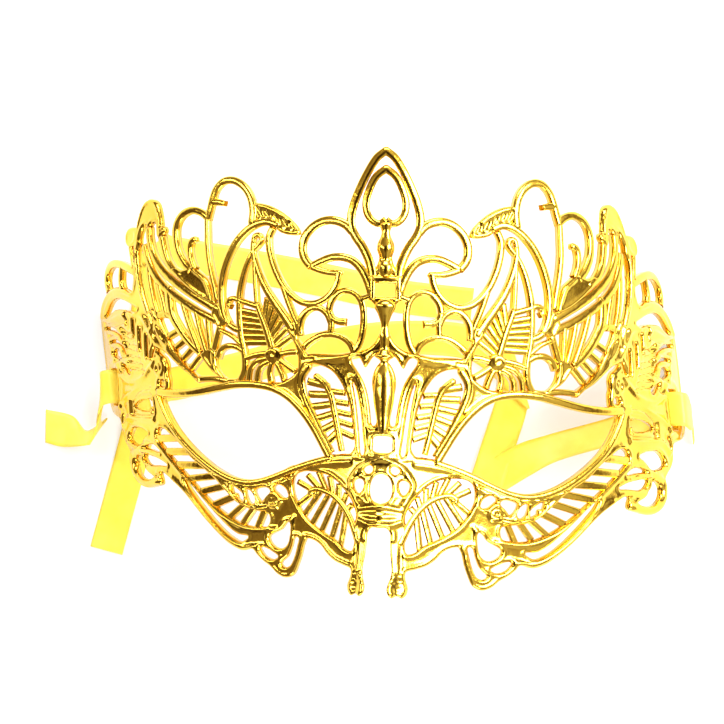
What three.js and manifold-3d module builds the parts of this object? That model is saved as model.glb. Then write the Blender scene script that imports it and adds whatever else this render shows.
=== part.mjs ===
import * as THREE from 'three';
import { mergeVertices } from 'three/addons/utils/BufferGeometryUtils.js';
import Module from 'manifold-3d';

// A gilt filigree eye mask that lies face up, with a ribbon tied to each temple.
// Lengths are millimetres. X runs across the face, Y up the face and Z out of it.
// The pattern is drawn flat: u runs round the face from the middle, v up from the eyes.

// The face is bent round a cylinder of this radius.
const FACE_RADIUS = 88;
// The middle ridge stands out from the cylinder and grows into the nose.
const RIDGE_HEIGHT = 3;
const RIDGE_REACH = 14;
const RIDGE_BLUNT = 2;
const RIDGE_END = 0.003;
const NOSE_HEIGHT = 16;
const NOSE_TOP = 12;
const NOSE_LENGTH = 60;
const NOSE_SWELL = 1.3;
const CROWN_START = 20;
const CROWN_LEAN = 0.0012;
// The mask lies a little flexed: its sides shift with their depth below the crown and with v,
// and one temple sits lower than the other.
const FLEX_TWIST = 0.001884;
const FLEX_LEAN = -0.0359;
const FLEX_FAN = 0.00042;
// The sheet's back and front, measured from the cylinder, and the raised rims of the eyes.
const BACK = -1;
const PLATE_TOP = 0.9;
const RIM_TOP = 1.7;
const RIM_SHARE = 0.6;
const CUT_REACH = 5;
// The temple edges are cut off flat where the mask rests on them.
const REST_CUT = 0.5;
// The slot in each temple that takes a ribbon: its middle and its size.
const SLOT = { u: 105, v: 9.5, width: 6, height: 10.9 };
// The bend is made of flat facets between these places along u.
const RIDGE_FACETS = [0, 5, 14];
const FACET_WIDTH = 17.4;
const LAST_FACET = 117;
// Curves are cut into chords that stray from them by no more than this.
const CHORD_ERROR = 0.14;
const LOOP_ERROR = 0.32;
const SMALLEST_OPENING = 0.25;
const SAMPLES_PER_SPAN = 8;
const CAP_STEPS = 3;
// Corners closer than this are one corner.
const WELD = 1e-3;
// A band's corners are widened by no more than this.
const MITER_LIMIT = 1.3;
// The block below the floor that trims the temple edges.
const FLOOR_BLOCK = 400;
const STEM_SIDES = 8;
const STEM_SQUASH = 0.62;
// A ribbon's cut width and thickness.
const RIBBON_WIDTH = 10;
const RIBBON_THICKNESS = 0.4;
const FOLD_RADIUS = 0.45;

// Solid areas of the right half: a name, then the outline.
const PLATES = [
  ['finial stem', [-0.6, 58.2], [1.9, 57.6], [1.25, 55.6], [1.4, 54], [2.3, 52], [2.4, 50],
    [1.8, 48.3], [2.1, 46.6], [2.9, 44.8], [4.2, 43.2], [4.2, 41.3], [-0.6, 41.3]],
  ['bridge', [-0.6, 36.5], [4.3, 36.5], [3.1, 35], [2, 33.2], [1.2, 31], [1, 29], [1.4, 27],
    [2.2, 25.2], [3.2, 23.8], [4.6, 22.7], [6.5, 21.8], [9.5, 21.4], [13, 20.8], [17, 20.8],
    [21, 20.6], [24, 19.5], [23.5, 17.5], [20.5, 17.6], [17.3, 17.2], [14.4, 15.7], [12.2, 13],
    [10.6, 10], [9.4, 6.3], [8.6, 2.5], [8, -1.5], [7.6, -5], [9, -8], [5, -9], [-0.6, -8.5]],
  ['brow', [22.4, 21.8], [21.4, 19], [22.6, 16.2], [23.6, 13], [23.2, 10], [22, 7.5], [21, 4.6],
    [24.5, 6], [28, 8.6], [32, 10.4], [37, 11.3], [33.5, 12.2], [29.5, 12.4], [26.9, 13.6], [25, 15.4],
    [24.4, 18], [24.8, 21], [26.2, 24.6], [28, 27.4], [27.4, 29.4], [25.3, 29.6], [24.3, 27.6],
    [24.4, 25], [23.4, 23.4]],
  ['shell boss', [28.8, 19.6], [30.4, 17.4], [33, 17.2], [34.5, 19.2], [34, 21.6], [32, 22.8],
    [29.9, 21.9]],
  ['crest', [24.2, 54.5], [24.6, 56], [26.5, 58.2], [29.5, 60.6], [33, 62.5], [36.5, 63.5],
    [39.5, 63.4], [40, 60], [39.5, 57.8], [36, 58], [32.5, 57.6], [31, 55.4], [27.5, 54.2]],
  ['leaf foot', [45.4, 29], [47.2, 28.2], [50, 27.3], [51.4, 29.2], [52.5, 31.4], [51.6, 34],
    [50, 35.2], [48.6, 33.5], [47.6, 31]],
  ['wing root', [51.2, 21], [53, 21.6], [55, 20.9], [57, 19.6], [55.4, 17.8], [53.8, 15.9], [52, 14.4],
    [50, 13.4], [47.5, 12], [43, 11.8], [41.6, 13], [44.6, 12.9], [47, 12.8], [49.2, 14.2],
    [50.6, 16.4], [51, 19]],
  ['wing web', [51.4, 34.5], [52.5, 38.5], [54.2, 41.8], [57, 44], [59.5, 45.5], [61.8, 45],
    [64, 44.6], [67, 45.5], [68.5, 44.6], [66, 42.5], [63, 40.2], [59, 37.6], [55, 35.5]],
  ['wing shoulder', [56, 12], [59.5, 14.4], [63, 17], [66, 19.8], [68.6, 22.8], [71, 26], [73, 29.5],
    [74.8, 33], [77.4, 33.6], [79, 29.5], [77.6, 24.8], [76, 22], [72, 20.4], [68, 17.8], [64, 15.1],
    [60, 13], [57.5, 11.2]],
  ['third lobe', [72.4, 53.6], [72.4, 57], [73.4, 62], [75, 65], [78, 66.1], [81, 65], [83.4, 61.5],
    [84.8, 57.5], [85.4, 53], [84.2, 50.5], [83.2, 52], [82.8, 55], [81.2, 57.7], [79.6, 58.4],
    [78.6, 57], [77, 58.6], [75.3, 58.8], [74.8, 57], [74.4, 54.6]],
  ['bud', [70.7, 56.2], [71.5, 55], [73.2, 54.8], [73.6, 56.4], [72.6, 57.7], [71.3, 57.5]],
  ['pad', [84.6, 57.2], [87, 58], [89.6, 57.4], [91, 55.3], [90.6, 53], [89, 51.8], [86.6, 52],
    [84.8, 53.4]],
  ['nose', [-0.6, -7], [4, -7.5], [8, -7], [14.4, -7.6], [20, -9.3], [25, -11.3], [29, -13.2],
    [29.6, -15], [27, -16.5], [26.4, -20], [25.4, -24], [25.2, -28], [24, -31], [20.2, -31.4],
    [18, -31.9], [16, -33.2], [14.5, -34.9], [13, -36.2], [11.5, -37.1], [9, -38], [6.9, -38.8],
    [6.9, -41], [7.5, -43], [7.2, -45], [6.1, -46], [5, -45.2], [3.9, -46], [2.9, -44.9], [2.7, -43],
    [3.3, -40.8], [3.6, -38.5], [3.2, -35], [2.9, -31], [2.8, -28.4], [1.8, -27], [-0.6, -26.8]],
  ['cheek and temple', [24.5, -11.1], [30, -13.4], [35, -15.2], [40, -15.9], [45, -15.3], [50, -13.6],
    [55, -11], [60, -7.9], [65, -4.2], [69, -0.3], [72.3, 4], [73.6, 6.6], [70.6, 9], [70.2, 12],
    [70.7, 14], [70.6, 16.5], [71.6, 18.5], [74, 20], [75.6, 21.6], [76.6, 25], [76.2, 29], [79, 33.5],
    [81.3, 38], [83, 43], [83.8, 48], [84, 53], [85.6, 53], [86, 47.5], [86.6, 45], [86.2, 41],
    [87.5, 38.4], [93, 39.6], [98, 40.1], [103, 39.5], [107, 37.9], [111, 35.5], [114, 32.9],
    [115.9, 30], [116, 22], [116, 12], [115.7, 4.4], [112, 1.2], [107, 0.1], [103, -0.8], [102, -3],
    [101.5, -5], [99.6, -7.3], [96.8, -9.2], [95.2, -10.9], [95.6, -13.5], [94.9, -16.2],
    [92.6, -18.7], [89, -20.2], [85, -20.7], [80.5, -20.1], [76.4, -19], [76.5, -17.4], [77.2, -16],
    [75.4, -15.6], [71.5, -17.2], [68, -19], [65, -20.8], [60, -24.8], [55, -29], [50, -32.8],
    [46, -35.2], [42, -36.4], [38.3, -35.8], [36.8, -37.2], [34.5, -38.9], [32, -40.3], [30, -42],
    [27, -43], [24.5, -42], [23, -39], [22, -36], [21.4, -33.2], [20.6, -31], [22, -26], [24, -20]],
];

// Openings through the solid areas: a name, then the outline.
const OPENINGS = [
  ['column fork', [0.6, 19.4], [0.8, 20.4], [2.1, 20.8], [3.2, 20], [4.2, 18.4], [5.2, 17.1],
    [6, 18.5], [6.9, 19.9], [8, 20.2], [9, 19.6], [8.9, 18.6], [7.6, 16.6], [6.2, 14.4], [5.2, 12.3],
    [4.4, 9.6], [3.8, 6.5], [3.4, 3.5], [3.1, 1.4], [2.5, 1], [1.9, 1.7], [1.9, 3.5], [2.1, 6],
    [2.6, 8.6], [3.1, 11], [3.3, 13], [3.1, 15], [2.4, 17], [1.5, 18.4]],
  ['long slit', [4.9, -6.6], [5.4, -2], [6, 3], [6.9, 8], [7.8, 11.4], [8.8, 13.8], [8.3, 11],
    [7.6, 7.4], [7, 3], [6.4, -2], [5.9, -6.6], [5.4, -7.4]],
  ['square window', [-1.2, -2.1], [2.4, -2.1], [2.5, -4], [2.4, -5.9], [-1.2, -5.9]],
  ['nose oval', [-1.2, -12.4], [1.5, -12.7], [2.6, -14.6], [2.8, -17], [2.2, -19.2], [0.9, -20.1],
    [-1.2, -20.2]],
  ['arch upper', [2.4, -10.4], [3.2, -10], [4.7, -11.2], [3.7, -12.3], [2.5, -11.7]],
  ['arch lower', [4.7, -14.4], [5.8, -13.8], [7.1, -14.6], [7, -16.3], [5.8, -17.8], [4.9, -16.8]],
  ['nose leaf', [6.3, -24], [7.6, -20.4], [9.6, -17.6], [12.2, -15], [15, -13.4], [18.5, -12.7],
    [22, -12.7], [24.4, -13.7], [25.2, -15.8], [25, -18.8], [24, -21], [22.8, -23], [20.5, -25.8],
    [18, -27.7], [14.5, -29.7], [11.5, -31.2], [8.6, -33.5], [7, -33.8], [6.4, -31.5], [7, -28]],
  ['cheek ladder', [77.2, -3.6], [75.3, -2.4], [73, -2.8], [70.8, -4], [65.6, -7.3], [61.2, -10.8],
    [55.6, -14.1], [51.5, -16.8], [48, -19.6], [43.6, -22.9], [40, -24.3], [36.3, -24.9],
    [32.8, -25.6], [33, -28.6], [36.4, -29.1], [40, -29], [45, -27.6], [50, -25.2], [55, -22.1],
    [60, -18.5], [63.9, -15.8], [69, -12.1], [73.6, -8.8], [77, -5.8]],
  ['cheek leaf one', [41.6, -20.6], [43.2, -19.2], [45.8, -18.1], [45.4, -20], [43.4, -21.6],
    [41.7, -22.2]],
  ['cheek leaf two', [38.8, -19.5], [40.8, -18.7], [40.8, -20.2], [39.7, -22.3], [38.2, -22.8],
    [37.5, -21.7]],
  ['cheek leaf three', [32.6, -18.9], [33.6, -18], [37.6, -18.9], [37.2, -20.2], [35.3, -22],
    [34.4, -20.8]],
  ['cheek leaf four', [26.9, -20.2], [27.3, -18.4], [28.8, -17.2], [30.6, -17], [31.4, -18],
    [30.2, -19.1], [28.4, -20.3]],
  ['lower eyelet', [26.2, -27.2], [27.2, -27.5], [28.6, -29.3], [32.7, -31.8], [32.3, -33.2],
    [30.5, -34.5], [28.4, -34.8], [26.8, -33.7], [26, -31]],
  ['lobe slot', [23.2, -31.4], [24.4, -31.4], [25.2, -34], [26.4, -36.8], [28.6, -39.1], [27.3, -40],
    [25.7, -39.5], [24.4, -37], [23.6, -34]],
  ['little lobe', [29.6, -37.2], [31.5, -36], [34, -35], [35.8, -35], [34.7, -36.7], [32.8, -37.8],
    [30.8, -38]],
  ['edge slit', [39.8, -32.3], [43.5, -31.8], [47.5, -29.7], [52, -26.3], [56.5, -22.6], [60.5, -19.3],
    [64.6, -16.8], [63.5, -18.6], [60, -22], [55.5, -25.9], [51, -29.5], [46.5, -32.4], [42.3, -33.8]],
  ['side crescent', [82.2, -4.3], [85, -3.2], [89, -2.7], [93, -2.9], [95.8, -4.6], [96.7, -6.3],
    [94, -7.5], [91, -7.9], [88.3, -7.8], [86, -6.4], [84, -5.2]],
  ['side leaf one', [76, -9.6], [78, -8.2], [81, -7.4], [84, -7.9], [85.8, -8.7], [82, -8.9],
    [78.6, -9.5]],
  ['side leaf two', [72.4, -13.5], [76, -12], [81, -11], [85, -10.7], [86.4, -11.1], [84.8, -12.9],
    [82, -13.7], [77, -13.6]],
  ['side leaf three', [80.8, -17.2], [84, -15.8], [86.8, -13.4], [88.4, -11.4], [90.8, -11.3],
    [92.8, -13], [92.3, -15.2], [90, -17.2], [86.5, -18.1], [83, -18]],
  ['temple crescent', [84.8, 33], [88, 34.4], [93, 35.8], [98, 36.4], [103, 35.6], [107, 33.7],
    [110.4, 31.2], [107.5, 31], [104, 32], [100, 33.1], [95, 33.2], [90, 32.7], [86.5, 32.1]],
  ['temple moon', [79.7, 5.7], [84, 6], [88, 5.3], [91.2, 3.8], [88, 2.8], [84, 2.6], [80.2, 2.8]],
  ['temple leaf one', [90.5, 14], [93, 15.6], [97.2, 16.8], [95, 14.6], [92.5, 13.5]],
  ['temple leaf two', [97.2, 19], [99.5, 20.8], [102.5, 21.2], [105.6, 19.9], [103, 18.5], [100, 18]],
  ['temple window', [71.7, 10.4], [72.4, 11.8], [74.4, 11.6], [74.6, 10.3], [73, 9.9]],
];

// Slits with round ends: a name, a width, then the middle line.
const SLITS = [
  ['head slit', 0.9, [76.3, 21.4], [77, 20.2], [77.7, 18.4]],
  ['temple slit one', 0.9, [79.8, 18.6], [79.9, 22], [79.8, 25.2]],
  ['temple slit two', 1.1, [83.4, 21], [83.5, 24], [83.5, 27.3]],
  ['temple slit three', 1.1, [87.1, 25], [87.1, 27.5], [87.1, 30]],
  ['temple slit four', 1, [91.4, 28.8], [91.5, 30.3], [91.6, 31.6]],
  ['moon slit', 0.9, [78.4, 2.2], [78.8, 4], [79.1, 5.6]],
  ['corner slit', 1.1, [99, 1.4], [100, 0.4], [100.4, -1.7]],
  ['upper vein slit', 0.9, [95.6, 24.2], [100, 26.4], [104.5, 27.4], [111, 27.7]],
  ['lower vein slit', 0.9, [93.8, 19.8], [97.5, 22.5], [101.5, 23.6], [106, 23.3]],
];

// Straps over the openings: a name, the width at each end, then the middle line.
const STRAPS = [
  ['finial loop', 1.8, 2, [0, 78.1], [2.4, 76.3], [4.7, 72.8], [6.9, 68.4], [8.8, 63.6], [9.7, 59.6],
    [9.6, 56.6], [8.5, 54], [6.6, 51.3], [5, 48.2], [4, 45.2], [3.6, 42.5]],
  ['finial heart', 1.7, 1.4, [0, 73], [2.7, 70.9], [4.7, 67], [5.6, 63.2], [5.1, 60.1], [3.5, 58.1],
    [1.7, 57.5], [0, 58.7]],
  ['window post', 1.3, 1.3, [3.6, 43], [3.7, 36]],
  ['window sill', 1.4, 1.4, [-0.6, 41.9], [3.6, 41.9]],
  ['arch', 1.9, 1.6, [4, 38.6], [4.9, 41.3], [6.7, 44.7], [9, 47], [12, 48], [15, 47.9], [18, 46.8],
    [21, 45.2]],
  ['tongue', 1.2, 1.4, [12.6, 43.5], [16, 43.7], [18.5, 44.3], [21, 45.3]],
  ['small lobe', 2, 1.8, [9.4, 55.3], [11, 57], [13.6, 58.2], [16.6, 58.4], [19.5, 57.4], [21.9, 55.3],
    [23.3, 52.8], [23.6, 50.2], [23, 47.7], [21, 45.2]],
  ['great scroll', 1.3, 1.5, [13, 43.4], [13.4, 41], [14.4, 38.8], [16, 36.8], [18, 35.4],
    [20.5, 34.7], [23.6, 35.2], [26.6, 37.1], [29.4, 40.2], [31.5, 43.9], [32.9, 47.6], [33.7, 51.3],
    [33.7, 54], [32.6, 56.4]],
  ['curl', 1.4, 1.3, [8.3, 21.4], [7, 23.4], [6.3, 25.8], [5.9, 28.4], [5.8, 31], [6, 33.6], [6.7, 36],
    [8.2, 37.8], [10.2, 38.6], [12.3, 38.3], [14, 36.9], [15.2, 34.9], [15.6, 32.6]],
  ['curl tongue', 1.3, 1.6, [15.6, 32.8], [14.8, 31], [13.2, 30], [10.5, 29.7]],
  ['curl wall', 1.3, 1.1, [15.6, 32.8], [15, 30.4], [15, 28], [15.2, 26]],
  ['round loop', 1.2, 1.6, [15.1, 29.6], [16.2, 32], [18.2, 33.5], [20.4, 33.5], [22.4, 32.2],
    [23.7, 30.2], [24.2, 27.8], [24, 25.6]],
  ['curl link', 1.2, 1.2, [4, 37.2], [6.8, 36.2]],
  ['dome', 1.3, 1.3, [8.4, 21.4], [9.6, 23.8], [11.8, 25.5], [14.4, 26.2], [17.2, 26], [19.6, 24.9],
    [21.4, 23.6], [22.6, 22.4]],
  ['thorn', 1.2, 1.2, [24.6, 28.6], [26.2, 32], [27.7, 35.6], [29.2, 39.6]],
  ['brow leaf', 2.2, 1.1, [26.2, 27.4], [28.4, 30.6], [30.8, 33.8], [33.3, 37.2], [35.4, 40.7],
    [37, 44.2], [38.1, 47.4], [38.6, 50.2], [38.6, 52.4]],
  ['leaf curl', 1, 0.9, [38.6, 52], [38.2, 54], [36.8, 54.3], [36, 53], [36.9, 51.4], [38.3, 50]],
  ['leaf rib', 0.9, 0.9, [38.1, 47], [37.9, 43], [37.6, 39], [37.2, 34.6]],
  ['leaf back', 1, 1.5, [38.6, 49.6], [40.2, 46.8], [41.5, 43.4], [42.4, 39.8], [42.9, 36.5],
    [43, 34.6]],
  ['leaf hook', 1.2, 1, [37, 33.8], [39.8, 34.6], [42.6, 35.4], [44.7, 36], [46.2, 35.5], [46.5, 34.2],
    [45.6, 33.5]],
  ['outer leaf', 1.7, 1.6, [31.6, 57.2], [34.6, 58.1], [38, 57.4], [41.5, 55.2], [44.7, 51.7],
    [47, 47.5], [48.5, 43], [49.1, 38.6], [48.8, 34.6], [47.9, 31.2], [46.4, 28.6]],
  ['big lobe', 1.8, 1.6, [39.3, 58], [39.1, 61.5], [40.2, 65.6], [42.4, 68.5], [45.7, 70.3],
    [49.1, 70.2], [51.6, 68.1], [52.9, 65], [53.6, 62], [54.4, 59]],
  ['lobe thorn', 1.8, 1, [52.9, 64.2], [51, 64.1], [48.3, 63.6]],
  ['wing stem', 1.2, 1.3, [54.5, 60], [54.3, 55.5], [54, 50.6], [53.3, 46.6], [52.3, 42.6], [51.3, 39],
    [50.5, 35.4]],
  ['second lobe', 1.6, 2, [54.5, 59.8], [57, 61.3], [60.3, 62], [63.4, 61.2], [65.5, 59.3],
    [66.5, 56.7], [66.4, 53.8], [65.7, 51], [64.3, 48.4], [62.4, 46.1], [60, 44.2]],
  ['lobe feather', 1.4, 1.3, [58.9, 53.3], [60.1, 52.9], [60.7, 51.2], [60.5, 48.8], [59.8, 46.8],
    [58.6, 44.6]],
  ['first feather', 1.8, 2, [64.5, 42.8], [67.5, 44.7], [70, 47.6], [71.5, 51], [72.6, 54.6]],
  ['upper spar', 2, 1.7, [50.6, 32.8], [55, 34.9], [60, 37.3], [65, 39.9], [70, 43], [74, 46.4],
    [76.8, 50.2], [78.2, 54], [78.6, 57.6]],
  ['lower spar', 1.8, 1.9, [51, 29.6], [57, 32], [62, 34.4], [67, 37], [72, 40], [75.5, 43],
    [78.2, 46.6], [79.8, 50], [80.6, 52.4]],
  ['inner feather', 2.6, 1.6, [69.4, 38.4], [69, 34.6], [68, 31.2], [65.8, 28.2], [63, 25.1],
    [60, 22.4], [56.4, 19.8]],
  ['ladder crown', 1.4, 1.6, [67.6, 31], [70.6, 31.6], [74, 31]],
  ['second feather', 1.5, 1.5, [70.5, 31.2], [71.3, 34.2], [72.4, 37.2], [73.8, 40.8]],
  ['third feather', 1.6, 1.6, [74.6, 31.8], [76.2, 35.6], [77.4, 39.6], [78.3, 43.4], [78.7, 46.6]],
  ['hub quill one', 1, 1, [53.9, 30.6], [53.5, 26], [52.9, 20.8]],
  ['hub quill two', 1.1, 1.3, [58.1, 32], [56.6, 26.6], [54.4, 20.4]],
  ['hub quill three', 1.2, 1.5, [63.4, 34.6], [60.7, 28], [57.2, 20.6]],
  ['hub strap', 1.5, 1.6, [49.4, 27.6], [50.5, 24.4], [51.6, 20.8]],
  ['foot tie', 1.4, 1.4, [42.7, 26.8], [44.4, 27.3], [46.6, 28.6]],
  ['foot brace', 0.9, 0.9, [42.2, 22.8], [45.4, 25.2], [49.4, 26.8]],
  ['loop rim', 1.2, 1.3, [41.4, 20.8], [43.8, 22], [46.8, 22.2], [49.2, 21], [50.4, 18.6]],
  ['shell edge', 1.3, 1.5, [42.9, 35], [42.9, 32], [42.7, 28.5], [42.3, 25], [41.5, 21.5], [41, 18],
    [41.3, 14.8], [42.6, 12.2]],
  ['shell spine', 1.7, 1.2, [32.3, 21.4], [33.6, 25.5], [35, 29.3], [36.3, 32.4], [37.2, 34.8]],
  ['shell ray one', 1.1, 1.1, [33.6, 20.4], [37.4, 19.8], [41.2, 18.6]],
  ['shell ray two', 1.1, 1.2, [33.6, 19], [37, 18], [39.1, 15.8], [39.8, 12.2]],
  ['shell ray three', 1.1, 1.2, [33.2, 18], [35.4, 16.8], [36.7, 14.8], [37, 12]],
  ['shell ray four', 1.1, 1.2, [32.4, 17.6], [33.1, 15], [32.6, 12]],
  ['shell ray five', 1.1, 1.2, [30.8, 17.6], [29.4, 15], [28.6, 12.8]],
  ['shell ray six', 1.1, 1.2, [29.8, 18.4], [27.4, 16.8], [25, 15.4]],
  ['shell ray seven', 1.1, 1.2, [29.4, 20.2], [27, 20.8], [24.4, 21]],
  ['upper eye rim', 2.2, 2.4, [14.6, -8.2], [17, -4.1], [19.2, -0.5], [21.6, 2.8], [24.4, 5.9],
    [27.8, 8.6], [32, 10.5], [37.5, 11.3], [44, 11.1], [50, 10.1], [57, 8.8], [63, 8.1], [69, 7.9],
    [75, 8.2]],
  ['lower eye rim', 2, 2, [14.6, -8.6], [20, -10.3], [25, -12.2], [30, -14.4], [35, -16.2],
    [40, -16.9], [45, -16.3], [50.3, -14.5], [55.4, -11.9], [60.4, -8.8], [65.6, -5], [69.8, -1],
    [73.1, 3.4], [75.4, 7.4]],
  ['root bar', 1.2, 1.2, [47, 12], [51.6, 12.6], [57, 12.4]],
  ['nose fern spine', 1.3, 1.1, [19, 14.2], [16.4, 12], [14.8, 9], [13.8, 5], [12.9, 1], [12, -3],
    [11.2, -6.4]],
  ['nose fern edge', 1.6, 1.5, [21.4, 17], [23.4, 13.6], [22.9, 9.6], [21.4, 6], [19.6, 2.6],
    [17.8, -0.8], [16, -3.8], [14.2, -7]],
  ['nose leaf spine', 1.2, 1, [5.4, -31], [7.6, -25.6], [10, -21.8], [13, -19], [16, -17.7],
    [18.4, -17.4], [20, -18.3], [19.6, -19.6]],
  ['fourth lobe', 1.8, 1.8, [86.2, 44.4], [90, 45.6], [95, 46.9], [100, 47.3], [104, 46.3],
    [106.6, 44], [107, 41.2], [105.4, 38.6]],
  ['lobe divider', 1.2, 1.6, [94.2, 46.4], [94.9, 43.4], [95, 41], [94, 39]],
  ['pad stalk', 1.2, 1.4, [88.2, 51.8], [87.3, 49], [86.4, 45.6]],
];

// Ladders of even bars: a name, a bar width, a number of bars, then the two rails.
const LADDERS = [
  ['outer cheek bars', 1.5, 3, [[70.4, -3.25], [53.7, -14.65]], [[80.4, -3.85], [65.6, -14.95]]],
  ['middle cheek bars', 1.5, 3, [[53.95, -14.25], [42.85, -22.35]], [[65, -15.1], [49.9, -25.7]]],
  ['inner cheek bars', 1.4, 3, [[43.2, -22.8], [33, -25.1]], [[49.4, -26.7], [34.4, -30.4]]],
  ['wing bars', 1.5, 4, [[65.9, 28.3], [62.4, 24.5], [58.6, 21], [55.2, 18.2]],
    [[71, 26.6], [67.6, 22], [63.6, 17.8], [58.8, 14.2]]],
];

// The turned stem down the middle: a height v, then the radius there.
const STEM = [
  [-1.6, 0], [-1, 0.9], [4, 2], [10, 2.9], [15, 2.4], [19, 1.1], [20.4, 2.6], [22.4, 1.2], [26, 1.5],
  [29, 1], [32, 1.9], [34.6, 3], [36.2, 1.6], [36.4, 0],
];
// The teardrop of the finial stem, turned like the stem below it.
const DROP = [
  [42.6, 0], [43, 1.4], [45.6, 1.9], [47.4, 1], [50.6, 2], [53.6, 1.3], [55.6, 1.1], [57.6, 1.5], [58, 0],
];

const wasm = await Module();
wasm.setup();

function toSolid(geometry) {
  const bare = geometry.clone();
  bare.deleteAttribute('normal');
  bare.deleteAttribute('uv');
  const merged = mergeVertices(bare, WELD);
  return new wasm.Manifold(new wasm.Mesh({
    numProp: 3,
    vertProperties: new Float32Array(merged.attributes.position.array),
    triVerts: new Uint32Array(merged.index.array),
  }));
}

function toGeometry(solid) {
  const mesh = solid.getMesh();
  const geometry = new THREE.BufferGeometry();
  geometry.setAttribute('position', new THREE.BufferAttribute(mesh.vertProperties.slice(), 3));
  geometry.setIndex(new THREE.BufferAttribute(mesh.triVerts.slice(), 1));
  return geometry;
}

// Joins solids in pairs, so that each join stays small.
function joinAll(solids) {
  let rest = solids;
  while (rest.length > 1) {
    const next = [];
    for (let i = 0; i < rest.length; i += 2) {
      next.push(i + 1 < rest.length ? rest[i].add(rest[i + 1]) : rest[i]);
    }
    rest = next;
  }
  return rest[0];
}

// Drops the points that lie within CHORD_ERROR of the line past them.
function thin(points, error = CHORD_ERROR) {
  if (points.length < 3) return points;
  const first = points[0];
  const last = points[points.length - 1];
  const line = new THREE.Line3(new THREE.Vector3(first.x, first.y, 0), new THREE.Vector3(last.x, last.y, 0));
  const near = new THREE.Vector3();
  let far = 0;
  let split = 0;
  for (let i = 1; i < points.length - 1; i += 1) {
    const point = new THREE.Vector3(points[i].x, points[i].y, 0);
    line.closestPointToPoint(point, true, near);
    const gap = near.distanceTo(point);
    if (gap > far) {
      far = gap;
      split = i;
    }
  }
  if (far < error) return [first, last];
  const head = thin(points.slice(0, split + 1), error);
  return head.slice(0, -1).concat(thin(points.slice(split), error));
}

function smooth(pairs, closed) {
  const knots = pairs.map(([u, v]) => new THREE.Vector3(u, v, 0));
  const curve = new THREE.CatmullRomCurve3(knots, closed, 'centripetal');
  const spans = closed ? knots.length : knots.length - 1;
  const points = curve.getPoints(spans * SAMPLES_PER_SPAN).map((p) => new THREE.Vector2(p.x, p.y));
  if (!closed) return thin(points);
  const half = Math.floor(points.length / 2);
  const front = thin(points.slice(0, half + 1));
  return front.slice(0, -1).concat(thin(points.slice(half)).slice(0, -1));
}

// A flat prism of an outline, from one height to another.
function prism(outline, low, high) {
  const settings = { depth: high - low, bevelEnabled: false, curveSegments: 1 };
  const geometry = new THREE.ExtrudeGeometry(new THREE.Shape(outline), settings);
  geometry.translate(0, 0, low);
  return toSolid(geometry);
}

// The outline of a band that follows a line, with round ends.
function band(line, startWidth, endWidth) {
  const count = line.length;
  const left = [];
  const right = [];
  line.forEach((point, i) => {
    const before = line[Math.max(i - 1, 0)];
    const after = line[Math.min(i + 1, count - 1)];
    const into = point.clone().sub(before).normalize();
    const out = after.clone().sub(point).normalize();
    const along = into.clone().add(out).normalize();
    const miter = Math.min(1 / Math.max(along.dot(i ? into : out), WELD), MITER_LIMIT);
    const half = miter * THREE.MathUtils.lerp(startWidth, endWidth, i / (count - 1)) / 2;
    const across = new THREE.Vector2(-along.y, along.x);
    left.push(point.clone().addScaledVector(across, half));
    right.push(point.clone().addScaledVector(across, -half));
  });
  const outline = [...right];
  outline.push(...cap(line[count - 1], right[count - 1]));
  outline.push(...left.reverse());
  outline.push(...cap(line[0], left[count - 1]));
  return outline;
}

// The points of a half circle round an end, from one corner toward the other.
function cap(centre, corner) {
  const points = [];
  for (let i = 1; i < CAP_STEPS; i += 1) {
    points.push(corner.clone().rotateAround(centre, Math.PI * i / CAP_STEPS));
  }
  return points;
}

// A turned form that lies along v, squashed in depth.
function turned(profile) {
  const points = profile.map(([v, radius]) => new THREE.Vector2(radius, v));
  const geometry = new THREE.LatheGeometry(points, STEM_SIDES);
  geometry.rotateY(Math.PI / STEM_SIDES);
  geometry.scale(1, 1, STEM_SQUASH);
  geometry.translate(0, 0, PLATE_TOP);
  return toSolid(geometry);
}

// A point a given share of the way along a line.
function along(line, share) {
  const steps = line.slice(1).map((p, i) => p.distanceTo(line[i]));
  let left = share * steps.reduce((a, b) => a + b, 0);
  let i = 0;
  while (i < steps.length - 1 && left > steps[i]) {
    left -= steps[i];
    i += 1;
  }
  return line[i].clone().lerp(line[i + 1], left / steps[i]);
}

function ladderBars([, width, count, firstRail, secondRail]) {
  const first = smooth(firstRail, false);
  const second = smooth(secondRail, false);
  return Array.from({ length: count }, (_, i) => {
    const share = (i + 0.5) / count;
    return band([along(first, share), along(second, share)], width, width);
  });
}

// The right half of the flat pattern, a little past the middle so that the halves join.
function halfPattern() {
  const plates = PLATES.map(([, ...outline]) => prism(smooth(outline, true), BACK, PLATE_TOP));
  const openings = OPENINGS.map(([, ...outline]) => prism(smooth(outline, true), -CUT_REACH, CUT_REACH));
  const slits = SLITS.map(([, width, ...line]) => {
    return prism(band(smooth(line, false), width, width), -CUT_REACH, CUT_REACH);
  });
  const straps = STRAPS.map(([, start, end, ...line]) => {
    return prism(band(smooth(line, false), start, end), BACK, PLATE_TOP);
  });
  const bars = LADDERS.flatMap((ladder) => ladderBars(ladder).map((bar) => prism(bar, BACK, PLATE_TOP)));
  const cut = joinAll(plates).subtract(joinAll([...openings, ...slits]));
  return cut.add(joinAll([...straps, ...bars]));
}

// The raised middle of each strap round the eye.
function eyeRims() {
  const rims = STRAPS.filter(([name]) => name.includes('eye rim'));
  return joinAll(rims.map(([, start, end, ...line]) => {
    const middle = thin(smooth(line, false), LOOP_ERROR);
    return prism(band(middle, start * RIM_SHARE, end * RIM_SHARE), 0, RIM_TOP);
  }));
}

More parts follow.
